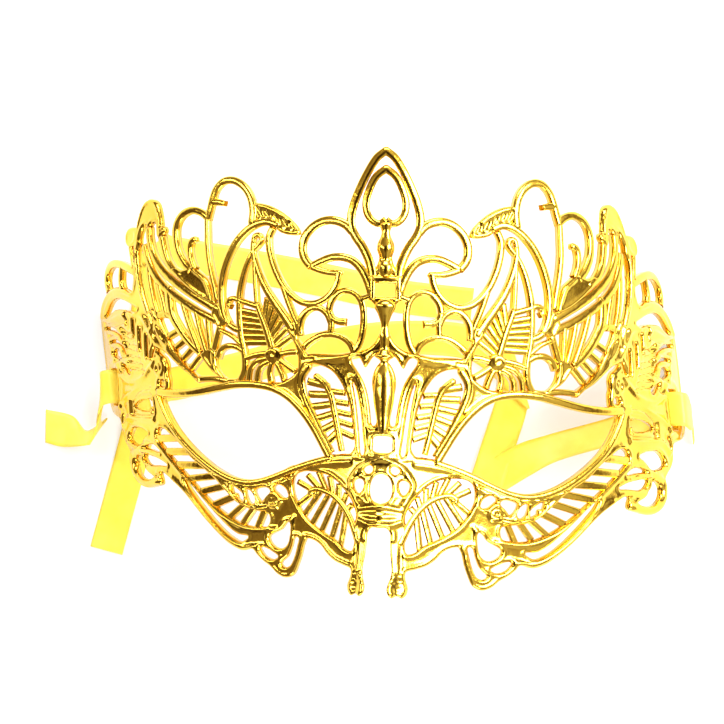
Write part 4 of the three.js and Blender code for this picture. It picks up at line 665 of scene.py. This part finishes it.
class FlatGrid:
    """An even grid over the right half of the flat pattern, and windows of it round a shape."""

    def __init__(self, step):
        left, bottom, right, top = PATTERN_BOX
        self.step = step
        self.u = np.arange(left, right, step)
        self.v = np.arange(bottom, top, step)
        self.grid_u, self.grid_v = np.meshgrid(self.u, self.v)

    def near(self, points):
        """The part of the grid near these points: where it is, and its places u and v."""
        low = points.min(axis=0) - NEAR_MARGIN
        high = points.max(axis=0) + NEAR_MARGIN
        columns = slice(*np.searchsorted(self.u, [low[0], high[0]]))
        rows = slice(*np.searchsorted(self.v, [low[1], high[1]]))
        spot = rows, columns
        return spot, self.grid_u[spot], self.grid_v[spot]


def sheet_field(grid):
    """Distance into the metal of the plates: the largest of the plates, cut by each opening."""
    field = np.full(grid.grid_u.shape, FAR_OUTSIDE)
    for _, outline in PLATES:
        outline = spline(outline, OUTLINE_STEP, closed=True)
        spot, u, v = grid.near(outline)
        field[spot] = np.maximum(field[spot], polygon_distance(u, v, outline))
    left, right, bottom, top = RIBBON_SLOT
    slot = np.array([(left, bottom), (right, bottom), (right, top), (left, top)])
    for outline in [spline(outline, CUT_STEP, closed=True) for _, outline in OPENINGS] + [slot]:
        spot, u, v = grid.near(outline)
        field[spot] = np.minimum(field[spot], -polygon_distance(u, v, outline))
    for _, width, line in SLITS:
        line = spline(line, CUT_STEP)
        spot, u, v = grid.near(line)
        field[spot] = np.minimum(field[spot], line_distance(u, v, line) - width / 2)
    return field


def crossing(first, second):
    """The share of the way from the first value to the second where the field is zero."""
    return first / (first - second)


def traced_faces(field):
    """Cuts the grid's cells along the zero line of the field.

    Each cell gives one face: its corners inside the metal, and the points where the zero
    line crosses its sides. Returns the face groups, the places of all points as rows and
    columns of the grid, and the pairs of points along the rims.
    """
    inside = field > 0
    corner_index = np.full(field.shape, -1)
    corner_index[inside] = np.arange(inside.sum())
    total = int(inside.sum())
    across = inside[:, :-1] != inside[:, 1:]
    across_index = np.full(across.shape, -1)
    across_index[across] = total + np.arange(across.sum())
    total += int(across.sum())
    upward = inside[:-1] != inside[1:]
    upward_index = np.full(upward.shape, -1)
    upward_index[upward] = total + np.arange(upward.sum())

    corners = [corner_index[:-1, :-1], corner_index[:-1, 1:],
               corner_index[1:, 1:], corner_index[1:, :-1]]
    states = [inside[:-1, :-1], inside[:-1, 1:], inside[1:, 1:], inside[1:, :-1]]
    sides = [across_index[:-1], upward_index[:, 1:], across_index[1:], upward_index[:, :-1]]
    # A cell's case is the sum of 1, 2, 4 and 8 for its corners that are in the metal
    case = sum(state.astype(int) << k for k, state in enumerate(states))
    faces = []
    rims = []
    for value in range(1, 16):
        here = case == value
        if not here.any():
            continue
        ring = []
        leaving = []
        entering = []
        for k in range(4):
            now = value >> k & 1
            following = value >> ((k + 1) % 4) & 1
            if now:
                ring.append(corners[k][here])
            if now != following:
                ring.append(sides[k][here])
                (leaving if now else entering).append(k)
        faces.append(np.stack(ring, axis=1))
        for k in leaving:
            back = next(j % 4 for j in range(k + 1, k + 5) if j % 4 in entering)
            rims.append(np.stack([sides[k][here], sides[back][here]], axis=1))

    row, column = np.nonzero(across)
    share = crossing(field[row, column], field[row, column + 1])
    spots = [np.argwhere(inside).astype(float), np.stack([row, column + share], axis=1)]
    row, column = np.nonzero(upward)
    share = crossing(field[row, column], field[row + 1, column])
    spots.append(np.stack([row + share, column], axis=1))
    return faces, np.concatenate(spots), np.concatenate(rims)


def build_plates(props, material):
    """The solid areas as one closed sheet.

    The front stands at 0.9, rounded down to its rim as a quarter circle, with a low bead
    along the rim and the ribs of RIBS on it; the back is flat; walls join the two.
    """
    grid = FlatGrid(props.grid_step / MM)
    field = sheet_field(grid)
    faces, spots, rims = traced_faces(field)
    u = grid.u[0] + spots[:, 1] * grid.step
    v = grid.v[0] + spots[:, 0] * grid.step
    corner_count = int((field > 0).sum())
    depth = np.zeros(len(spots))
    depth[:corner_count] = field[field > 0]
    front = PLATE_TOP + rim_profile(depth) + rib_relief(u, v, depth)
    back = np.where(depth > 0, BACK, BACK + BACK_EASE)
    count = len(spots)
    start, end = rims.T
    walls = np.stack([start + count, end + count, end, start], axis=1)
    faces += [group[:, ::-1] + count for group in faces] + [walls]
    points, faces = both_halves(np.r_[u, u], np.r_[v, v], np.r_[front, back], faces)
    return new_piece("filigree_plates", points, faces, material)


def rim_profile(depth):
    """Height near a rim: a quarter circle down to the rim, and a low bead inside it."""
    inner = np.clip(depth, 0, RIM_ROUND)
    fall = RIM_ROUND - np.sqrt(np.clip(RIM_ROUND ** 2 - (RIM_ROUND - inner) ** 2, 0, None))
    bead = BEAD_HEIGHT * np.exp(-(((depth - BEAD_PLACE) / BEAD_WIDTH) ** 2))
    return bead - fall * RIM_FALL


def relief_lines():
    """Every rib and groove as its height, its half width and its line.

    The lines of a fan lie at even shares between its first and its last line. A coil is
    (r cos t, r sin t) about its middle, with r falling evenly from its radius to a fifth of it.
    """
    lines = [(height, half_width, spline(line, OUTLINE_STEP))
             for _, height, half_width, line in RIBS]
    for _, height, half_width, count, first, last in FANS:
        first, last = np.array(first, float), np.array(last, float)
        for share in np.linspace(0, 1, count):
            line = spline(first + (last - first) * share, OUTLINE_STEP)
            lines.append((height, half_width, line))
    for _, height, half_width, middle, radius, turns in COILS:
        share = np.linspace(0, 1, COIL_POINTS)[:, None]
        angle = share * turns * 2 * math.pi
        arm = np.concatenate([np.cos(angle), np.sin(angle)], axis=1)
        arm *= radius * (1 - COIL_SHRINK * share)
        lines.append((height, half_width, np.array(middle) + arm))
    return lines


def rib_relief(u, v, depth):
    """Ribs and grooves on the plates: height * exp(-(distance / half width)^2) by each line."""
    relief = np.zeros(len(u))
    for height, half_width, line in relief_lines():
        low = line.min(axis=0) - RIB_REACH * half_width
        high = line.max(axis=0) + RIB_REACH * half_width
        near = (u > low[0]) & (u < high[0]) & (v > low[1]) & (v < high[1])
        gap = line_distance(u[near], v[near], line)
        relief[near] += height * np.exp(-((gap / half_width) ** 2))
    return np.clip(relief, -RELIEF_LIMIT, RELIEF_LIMIT) * np.clip(depth / RELIEF_FADE, 0, 1)


def ring_faces(rings, sides, start=0):
    """The point numbers of rings that follow each other, and the faces between them."""
    index = np.arange(rings * sides).reshape(rings, sides) + start
    following = np.roll(index, -1, axis=1)
    quads = np.stack([index[:-1], following[:-1], following[1:], index[1:]], axis=-1)
    return index, quads.reshape(-1, 4)


def swept_strap(line, start_width, end_width, top, crown):
    """A strap along a line: a flat back, upright sides and a round crown.

    The half width grows evenly from the start's to the end's, and the section runs
    through (a, h) with h = edge + crown * sin(t)^0.7 at a = cos(t). The start is rounded by
    rings that shrink as cos(t) and lie the half width times sin(t) further out. The end is
    closed by the same rings measured from a few points back, so they lie inside the strap.
    """
    line = resampled(spline(line, LINE_STEP), STRAP_STEP)
    ahead = np.gradient(line, axis=0)
    ahead /= np.linalg.norm(ahead, axis=1)[:, None]
    half = np.linspace(start_width, end_width, len(line)) / 2
    turns = np.radians(END_TURNS)
    extra = len(turns)
    shrink = np.r_[np.cos(turns), np.ones(len(line)), np.cos(turns[::-1])]
    rounded = line[0] - ahead[0] * half[0] * np.sin(turns)[:, None]
    line = np.concatenate([rounded, line])
    ahead = np.concatenate([ahead[[0] * extra], ahead])
    half = np.r_[half[[0] * extra], half]
    back = -1 - extra
    closing = line[back] + ahead[back] * half[back] * np.sin(turns[::-1])[:, None]
    line = np.concatenate([line, closing])
    ahead = np.concatenate([ahead, ahead[[back] * extra]])
    half = np.r_[half, half[[back] * extra]]
    turn = np.radians(np.linspace(0, 180, CROWN_POINTS))[1:-1]
    edge = top - crown
    section_a = np.r_[SECTION_FOOT, 1.0, np.cos(turn), -1.0, -SECTION_FOOT]
    round_top = edge + crown * np.sin(turn) ** CROWN_SQUARENESS
    section_h = np.r_[BACK, edge, round_top, edge, BACK]
    across = np.stack([ahead[:, 1], -ahead[:, 0]], axis=1)
    offset = (half * shrink)[:, None] * section_a[None]
    u = line[:, 0:1] + across[:, 0:1] * offset
    v = line[:, 1:2] + across[:, 1:2] * offset
    middle = (edge + BACK) / 2
    squeeze = END_THINNESS + (1 - END_THINNESS) * shrink[:, None]
    h = middle + (section_h[None] - middle) * squeeze
    index, quads = ring_faces(*u.shape)
    return u.ravel(), v.ravel(), h.ravel(), [quads[:, ::-1], index[:1], index[-1:, ::-1]]


def ladder_lines(first_rail, second_rail, count):
    """The middle lines of a ladder's bars, at the shares (i + 0.5) / count of both rails."""
    ends = []
    for rail in (first_rail, second_rail):
        rail = resampled(spline(rail, LINE_STEP), RAIL_STEP)
        marks = (np.arange(count) + 0.5) / count * (len(rail) - 1)
        ends.append(rail[marks.round().astype(int)])
    return [np.stack([a, (a + b) / 2, b]) for a, b in zip(*ends)]


def gathered_straps(straps):
    """Several straps together on the right half: u, v and height of their points, and the faces."""
    spots = []
    groups = []
    start = 0
    for line, start_width, end_width, top, crown in straps:
        u, v, h, faces = swept_strap(line, start_width, end_width, top, crown)
        spots.append(np.stack([u, v, h]))
        groups.extend(group + start for group in faces)
        start += len(u)
    return *np.concatenate(spots, axis=1), groups


def build_straps(material):
    """The straps of the filigree, each a round-topped band along its line."""
    straps = []
    for name, start_width, end_width, line in STRAPS:
        rim = "eye rim" in name
        top, crown = (RIM_TOP, RIM_CROWN) if rim else (STRAP_TOP, STRAP_CROWN)
        spread = 0 if rim else STRAP_SPREAD
        straps.append((line, start_width + spread, end_width + spread, top, crown))
    points, faces = both_halves(*gathered_straps(straps))
    return new_piece("filigree_straps", points, faces, material)


def build_rungs(material):
    """The bars of the ladders, each a thin low strap."""
    bars = []
    for _, width, count, first, second in LADDERS:
        for line in ladder_lines(first, second, count):
            wide = width * (FINE_SPREAD if width < FINE_RUNG else RUNG_SPREAD)
            bars.append((line, wide, wide, RUNG_TOP, RUNG_CROWN))
    points, faces = both_halves(*gathered_straps(bars))
    return new_piece("filigree_rungs", points, faces, material)


def build_stem(material):
    """The turned stem down the middle: a squashed surface of revolution about its own line."""
    points = []
    groups = []
    start = 0
    for profile in (STEM, DROP):
        profile = spline(profile, STEM_STEP)
        radius = np.clip(profile[:, 1], STEM_TIP, None)
        turn = np.linspace(0, 2 * math.pi, STEM_SIDES, endpoint=False)
        u = radius[:, None] * np.sin(turn)[None]
        v = np.repeat(profile[:, 0:1], STEM_SIDES, axis=1)
        h = PLATE_TOP + STEM_SQUASH * radius[:, None] * np.cos(turn)[None]
        index, quads = ring_faces(len(profile), STEM_SIDES, start)
        groups.extend([quads, index[:1, ::-1], index[-1:]])
        points.append(bent(u.ravel(), v.ravel(), h.ravel()))
        start += index.size
    return new_piece("turned_stem", np.concatenate(points), groups, material)


def unit(vector):
    """The vector at length one, or as it is where it has no length."""
    length = np.linalg.norm(vector)
    return vector / length if length > 0 else vector


def turned_left(vector):
    """A flat vector turned a quarter turn to the left."""
    return np.array([-vector[1], vector[0], 0.0])


def ribbon_lines(route):
    """The two ends of each line across a ribbon, in millimetres.

    A line lies square to the way ahead, or at its own angle. At a fold it lies along the
    way ahead instead, three lines go round the fold's radius, and the band changes sides.
    """
    middles = np.array([stop[:3] for stop in route], float)
    lines = []
    side = 1.0
    for i, stop in enumerate(route):
        marks = stop[3] if len(stop) > 3 else {}
        into = unit((middles[i] - middles[max(i - 1, 0)]) * (1, 1, 0))
        out = unit((middles[min(i + 1, len(middles) - 1)] - middles[i]) * (1, 1, 0))
        ahead = unit(into + out)
        fold = marks.get("fold")
        way = ahead if fold else turned_left(ahead)
        if "across" in marks:
            angle = math.radians(marks["across"])
            way = np.array([math.cos(angle), math.sin(angle), 0.0])
        left = turned_left(into if i else out)
        stretch = 1.0 if "across" in marks else 1 / abs(way @ left)
        if (way @ left) * side < 0:
            way = -way
        reach = way * stretch * RIBBON_WIDTH / 2
        if "lean" in marks:
            tilt = math.radians(marks["lean"])
            reach = reach * math.cos(tilt)
            reach[2] = math.sin(tilt) * side * RIBBON_WIDTH / 2
        if not fold:
            lines.append(np.r_[middles[i] + reach, middles[i] - reach])
            continue
        outward = unit(into - out)
        for turn in (0, math.pi / 2, math.pi):
            middle = middles[i] + outward * math.sin(turn) * FOLD_RADIUS
            middle[2] += fold * (1 - math.cos(turn)) * FOLD_RADIUS
            lines.append(np.r_[middle + reach, middle - reach])
        side = -side
    return np.array(lines)


def build_ribbon(name, node, route, props, material):
    """A satin ribbon as a closed band: a middle surface moved half its thickness each way.

    The middle surface joins the lines across the route smoothly, with a slight wave
    of wave * sin(2 pi s / 23 + 1.7 a) * (1 - a^2 / 2) at the length s and the share a across.
    """
    lines = resampled(spline(ribbon_lines(route), ROUTE_STEP), ROW_STEP)
    share = np.linspace(-1, 1, RIBBON_COLUMNS)
    a, b = lines[:, None, :3], lines[:, None, 3:]
    middle = (a + b) / 2
    surface = middle + (b - a) / 2 * share[None, :, None]
    steps = np.linalg.norm(np.diff(middle[:, 0], axis=0), axis=1)
    length = np.r_[0, np.cumsum(steps)]
    phase = length[:, None] / WAVE_LENGTH * 2 * math.pi + WAVE_SLANT * share
    surface[..., 2] += props.wave / MM * np.sin(phase) * (1 - share ** 2 / 2)
    ahead = np.gradient(surface, axis=0)
    normal = np.cross(ahead, (b - a) + 0 * surface)
    normal /= np.maximum(np.linalg.norm(normal, axis=2), SHORTEST)[..., None]
    edge = 1 + SELVAGE * (np.abs(share) > SELVAGE_START)
    offset = normal * (RIBBON_THICKNESS / 2 * edge)[None, :, None]
    surface[..., 2] = np.maximum(surface[..., 2], RIBBON_THICKNESS / 2 + FLOOR_GAP)
    layers = np.concatenate([surface + offset, (surface - offset)[:, ::-1]], axis=1)
    rows, around = layers.shape[:2]
    points = layers.reshape(-1, 3) * MM + (ORIGIN_X, ORIGIN_Y, 0)
    points[:, 2] = np.maximum(points[:, 2], LOWEST * MM)
    index, quads = ring_faces(rows, around)
    caps = []
    for row in (index[0], index[-1]):
        top, under = row[:around // 2], row[::-1][:around // 2]
        caps.append(np.stack([top[:-1], top[1:], under[1:], under[:-1]], axis=1))
    piece = new_piece(name, points, [quads, caps[0][:, ::-1], caps[1]], material)
    orient_outwards(piece.data)
    across = np.r_[share, share[::-1]]
    lay_map(piece.data, points, np.tile(across, rows), np.repeat(length, around))
    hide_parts(node)
    return piece


def orient_outwards(mesh):
    """Turns all faces of a closed mesh to point out."""
    work = bmesh.new()
    work.from_mesh(mesh)
    bmesh.ops.recalc_face_normals(work, faces=work.faces)
    work.to_mesh(mesh)
    work.free()


def lay_map(mesh, points, across, along):
    """A map with the place across the ribbon and the place along it, both in metres."""
    known = {tuple(np.round(p, PLACE_DIGITS)): k for k, p in enumerate(points)}
    corners = np.array([mesh.vertices[loop.vertex_index].co for loop in mesh.loops])
    picks = np.array([known.get(tuple(np.round(c, PLACE_DIGITS)), 0) for c in corners])
    places = np.stack([across[picks] * RIBBON_WIDTH / 2 * MM, along[picks] * MM], axis=1)
    layer = mesh.uv_layers.new(name=RIBBON_MAP)
    layer.data.foreach_set("uv", places.astype(np.float32).ravel())


def new_material(name):
    """A material with an empty node tree, its output and its surface shader."""
    material = bpy.data.materials.new(name)
    material.use_nodes = True
    tree = material.node_tree
    shader = tree.nodes["Principled BSDF"]
    return material, tree, shader


def link(tree, source, target):
    """Joins an output of a node to an input of another."""
    tree.links.new(source, target)


def set_inputs(node, values):
    """Sets a node's inputs by their names."""
    for name, value in values.items():
        node.inputs[name].default_value = value


def added_noise(tree, source, scale, detail):
    """A noise texture on the given coordinates."""
    noise = tree.nodes.new("ShaderNodeTexNoise")
    set_inputs(noise, {"Scale": scale, "Detail": detail})
    link(tree, source, noise.inputs["Vector"])
    return noise.outputs["Fac"]


def added_ramp(tree, source, stops):
    """A colour ramp from a value, with (place, colour) stops."""
    ramp = tree.nodes.new("ShaderNodeValToRGB")
    link(tree, source, ramp.inputs["Fac"])
    elements = ramp.color_ramp.elements
    while len(elements) < len(stops):
        elements.new(0.5)
    for element, (place, colour) in zip(elements, stops):
        element.position = place
        element.color = (*colour, 1)
    return ramp.outputs["Color"]


def added_bump(tree, source, strength, distance, before=None):
    """A bump from a value, on top of another bump if one is given."""
    bump = tree.nodes.new("ShaderNodeBump")
    set_inputs(bump, {"Strength": strength, "Distance": distance})
    link(tree, source, bump.inputs["Height"])
    if before:
        link(tree, before, bump.inputs["Normal"])
    return bump.outputs["Normal"]


def gilt_material():
    """Glossy gold plate: patches of paler and redder gold, a soft cast skin, polish marks."""
    material, tree, shader = new_material("gilt plate")
    place = tree.nodes.new("ShaderNodeTexCoord").outputs["Object"]
    patches = added_noise(tree, place, *GOLD_PATCHES)
    link(tree, added_ramp(tree, patches, GOLD_STOPS), shader.inputs["Base Color"])
    bloom = added_noise(tree, place, *GOLD_BLOOM)
    gloss = tree.nodes.new("ShaderNodeMapRange")
    set_inputs(gloss, GOLD_GLOSS)
    link(tree, bloom, gloss.inputs["Value"])
    link(tree, gloss.outputs["Result"], shader.inputs["Roughness"])
    set_inputs(shader, GOLD_FINISH)
    cast = added_noise(tree, place, *CAST_SKIN)
    polish = added_noise(tree, place, *POLISH_MARKS)
    bumps = added_bump(tree, cast, *CAST_BUMP)
    bumps = added_bump(tree, polish, *POLISH_BUMP, bumps)
    link(tree, bumps, shader.inputs["Normal"])
    return material


def satin_material():
    """Lemon satin: warp threads along the ribbon, weft ribs across it and a soft sheen."""
    material, tree, shader = new_material("lemon satin")
    place = tree.nodes.new("ShaderNodeUVMap")
    place.uv_map = RIBBON_MAP
    place = place.outputs["UV"]
    heights = []
    for direction, scale in THREADS:
        threads = tree.nodes.new("ShaderNodeTexWave")
        threads.bands_direction = direction
        set_inputs(threads, {"Scale": scale, "Distortion": THREAD_WANDER, "Detail": 1})
        link(tree, place, threads.inputs["Vector"])
        heights.append(threads.outputs["Fac"])
    clouds = added_noise(tree, place, *SATIN_CLOUDS)
    link(tree, added_ramp(tree, clouds, SATIN_STOPS), shader.inputs["Base Color"])
    set_inputs(shader, SATIN_FINISH)
    bumps = added_bump(tree, heights[0], *WARP_BUMP)
    bumps = added_bump(tree, heights[1], *WEFT_BUMP, bumps)
    link(tree, bumps, shader.inputs["Normal"])
    return material


def floor_material():
    """A matt white light table with a very faint mottle, glowing evenly from below."""
    material, tree, shader = new_material("studio sheet")
    place = tree.nodes.new("ShaderNodeTexCoord").outputs["Object"]
    mottle = added_noise(tree, place, *FLOOR_MOTTLE)
    link(tree, added_ramp(tree, mottle, FLOOR_STOPS), shader.inputs["Base Color"])
    set_inputs(shader, FLOOR_FINISH)
    return material


def build_floor(sheet):
    """A wide flat floor whose top is at height zero."""
    reach = FLOOR_REACH
    mesh = bpy.data.meshes.new("floor")
    corners = [(-reach, -reach, 0), (reach, -reach, 0), (reach, reach, 0), (-reach, reach, 0)]
    mesh.from_pydata(corners, [], [(0, 1, 2, 3)])
    mesh.materials.append(sheet)
    floor = placed("floor", mesh)
    return floor


def camera_axes():
    """The camera's right, up and back directions in the frame.

    The head turns by its yaw about the frame's Y axis and rolls about its own line of sight.
    """
    yaw = math.radians(CAMERA_YAW)
    roll = math.radians(CAMERA_ROLL)
    turn = Matrix(((math.cos(yaw), 0, math.sin(yaw)), (0, 1, 0),
                   (-math.sin(yaw), 0, math.cos(yaw))))
    spin = Matrix(((math.cos(roll), -math.sin(roll), 0), (math.sin(roll), math.cos(roll), 0),
                   (0, 0, 1)))
    return (spin @ turn).transposed()


def build_camera():
    """The camera above the mask, aimed so that the photo's middle falls in the picture's middle."""
    head = camera_axes()
    crown = Vector((ORIGIN_X, ORIGIN_Y, (FACE_RADIUS - FLOOR_DROP) * MM))
    place = crown + head @ Vector((0, 0, CAMERA_DISTANCE))
    aim = Vector((-AIM_RIGHT, -AIM_UP, 1)).normalized()
    right = Vector((0, 1, 0)).cross(aim).normalized()
    up = aim.cross(right)
    local = Matrix((right, up, aim)).transposed()
    lens = bpy.data.cameras.new("camera")
    lens.sensor_width = SENSOR_WIDTH
    slant = math.hypot(1, math.hypot(AIM_RIGHT, AIM_UP))
    lens.lens = CAMERA_FOCUS / PICTURE_WIDTH * SENSOR_WIDTH * slant
    lens.clip_start, lens.clip_end = CAMERA_CLIP
    camera = placed("camera", lens)
    camera.matrix_world = Matrix.Translation(place) @ (head @ local).to_4x4()
    bpy.context.scene.camera = camera
    return camera


def build_light(name, place, size, power, colour):
    """A rectangular soft light at a place, aimed at the middle of the mask."""
    data = bpy.data.lights.new(name, "AREA")
    data.shape = "RECTANGLE"
    data.size, data.size_y = size
    data.energy = power
    data.color = colour
    lamp = placed(name, data)
    lamp.location = place
    aim = Vector(LIGHT_TARGET) - Vector(place)
    lamp.rotation_mode = "QUATERNION"
    lamp.rotation_quaternion = aim.to_track_quat("-Z", "Y")
    return lamp


def build_world(strength):
    """A pale surround in bands, dimmer at the left, with a dark patch nearly overhead.

    It is the product of three colours: by nearness to the patch, by height, pale at the
    horizon with dim bands above it, and by side. The middle of the mask mirrors the patch,
    its left half the dim side and its right half the bright side.
    """
    world = bpy.data.worlds.new("studio")
    bpy.context.scene.world = world
    world.use_nodes = True
    tree = world.node_tree
    ground = tree.nodes["Background"]
    place = tree.nodes.new("ShaderNodeTexCoord").outputs["Generated"]
    parts = tree.nodes.new("ShaderNodeSeparateXYZ")
    link(tree, place, parts.inputs["Vector"])
    toward = tree.nodes.new("ShaderNodeVectorMath")
    toward.operation = "DOT_PRODUCT"
    toward.inputs[1].default_value = Vector(DARK_PATCH).normalized()
    link(tree, place, toward.inputs[0])
    patch = added_ramp(tree, toward.outputs["Value"], DARK_PATCH_STOPS)
    height = added_ramp(tree, parts.outputs["Z"], HORIZON_STOPS)
    side = tree.nodes.new("ShaderNodeMapRange")
    set_inputs(side, {"From Min": -1.0})
    link(tree, parts.outputs["X"], side.inputs["Value"])
    sides = added_ramp(tree, side.outputs["Result"], SIDE_STOPS)
    whole = multiplied(tree, multiplied(tree, patch, height), sides)
    link(tree, whole, ground.inputs["Color"])
    set_inputs(ground, {"Strength": strength})
    return world


def multiplied(tree, first, second):
    """The product of two colours."""
    mix = tree.nodes.new("ShaderNodeMix")
    mix.data_type = "RGBA"
    mix.blend_type = "MULTIPLY"
    set_inputs(mix, {"Factor": 1.0})
    link(tree, first, mix.inputs[COLOUR_A])
    link(tree, second, mix.inputs[COLOUR_B])
    return mix.outputs[COLOUR_RESULT]


def gilt():
    """The gold of the mask, made at its first use."""
    return bpy.data.materials.get("gilt plate") or gilt_material()


def satin():
    """The satin of the ribbons, made at its first use."""
    return bpy.data.materials.get("lemon satin") or satin_material()


def finish_gilt(piece):
    """Hides the solid mask, whose place the gilt pieces take."""
    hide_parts("mask")


class MaskSheetSettings(bpy.types.PropertyGroup):
    """Sizes of the mask's sheet."""

    grid_step: bpy.props.FloatProperty(
        name="Grid Step", description="Spacing of the grid that the plates are cut from",
        default=0.00044, min=0.0003, unit="LENGTH")


class MaskRibbonSettings(bpy.types.PropertyGroup):
    """Sizes of the ribbons."""

    wave: bpy.props.FloatProperty(
        name="Wave", description="How high the slight waves of the ribbons are",
        default=0.00015, min=0.0, unit="LENGTH")


class MaskStudioSettings(bpy.types.PropertyGroup):
    """The studio's light."""

    surround: bpy.props.FloatProperty(
        name="Surround", description="Strength of the pale surround", default=0.7, min=0.0)
    key_power: bpy.props.FloatProperty(
        name="Key Light", description="Power of the key light", default=9.0, min=0.0, unit="POWER")


class MASK_OT_plates(bpy.types.Operator):
    """Build the solid areas of the filigree"""

    bl_idname = "mask.plates"
    bl_label = "Build Plates"

    def execute(self, context):
        finish_gilt(build_plates(context.scene.mask_sheet, gilt()))
        return {"FINISHED"}


class MASK_OT_straps(bpy.types.Operator):
    """Build the straps and the fine bars of the filigree"""

    bl_idname = "mask.straps"
    bl_label = "Build Straps"

    def execute(self, context):
        finish_gilt(build_straps(gilt()))
        finish_gilt(build_rungs(gilt()))
        return {"FINISHED"}


class MASK_OT_stem(bpy.types.Operator):
    """Build the turned stem down the middle"""

    bl_idname = "mask.stem"
    bl_label = "Build Stem"

    def execute(self, context):
        finish_gilt(build_stem(gilt()))
        return {"FINISHED"}


class MASK_OT_ribbons(bpy.types.Operator):
    """Build both ribbons"""

    bl_idname = "mask.ribbons"
    bl_label = "Build Ribbons"

    def execute(self, context):
        props = context.scene.mask_ribbons
        build_ribbon("satin_ribbon_left", "ribbon_left", LEFT_ROUTE, props, satin())
        build_ribbon("satin_ribbon_right", "ribbon_right", RIGHT_ROUTE, props, satin())
        return {"FINISHED"}


class MASK_OT_studio(bpy.types.Operator):
    """Build the floor, the lights and the camera"""

    bl_idname = "mask.studio"
    bl_label = "Build Studio"

    def execute(self, context):
        props = context.scene.mask_studio
        build_floor(floor_material())
        build_world(props.surround)
        build_camera()
        for name, place, size, share, colour in LIGHTS:
            build_light(name, place, size, props.key_power * share, colour)
        context.scene.view_settings.view_transform = "Standard"
        return {"FINISHED"}


class MASK_PT_panel(bpy.types.Panel):
    """Sidebar panel with the settings and the build buttons"""

    bl_idname = "MASK_PT_panel"
    bl_label = "Filigree Mask"
    bl_space_type = "VIEW_3D"
    bl_region_type = "UI"
    bl_category = "Mask"

    def draw(self, context):
        layout = self.layout
        layout.prop(context.scene.mask_sheet, "grid_step")
        layout.operator("mask.plates")
        layout.operator("mask.straps")
        layout.operator("mask.stem")
        layout.prop(context.scene.mask_ribbons, "wave")
        layout.operator("mask.ribbons")
        layout.prop(context.scene.mask_studio, "surround")
        layout.prop(context.scene.mask_studio, "key_power")
        layout.operator("mask.studio")


CLASSES = (
    MaskSheetSettings, MaskRibbonSettings, MaskStudioSettings, MASK_OT_plates, MASK_OT_straps,
    MASK_OT_stem, MASK_OT_ribbons, MASK_OT_studio, MASK_PT_panel,
)


def register():
    """Registers the settings, the operators and the panel."""
    for kind in CLASSES:
        bpy.utils.register_class(kind)
    bpy.types.Scene.mask_sheet = bpy.props.PointerProperty(type=MaskSheetSettings)
    bpy.types.Scene.mask_ribbons = bpy.props.PointerProperty(type=MaskRibbonSettings)
    bpy.types.Scene.mask_studio = bpy.props.PointerProperty(type=MaskStudioSettings)


def unregister():
    """Takes the settings, the operators and the panel out again."""
    del bpy.types.Scene.mask_studio
    del bpy.types.Scene.mask_ribbons
    del bpy.types.Scene.mask_sheet
    for kind in reversed(CLASSES):
        bpy.utils.unregister_class(kind)


def main():
    """Builds the whole scene."""
    register()
    bpy.ops.mask.studio()
    bpy.ops.mask.plates()
    bpy.ops.mask.straps()
    bpy.ops.mask.stem()
    bpy.ops.mask.ribbons()


if __name__ == "__main__":
    main()
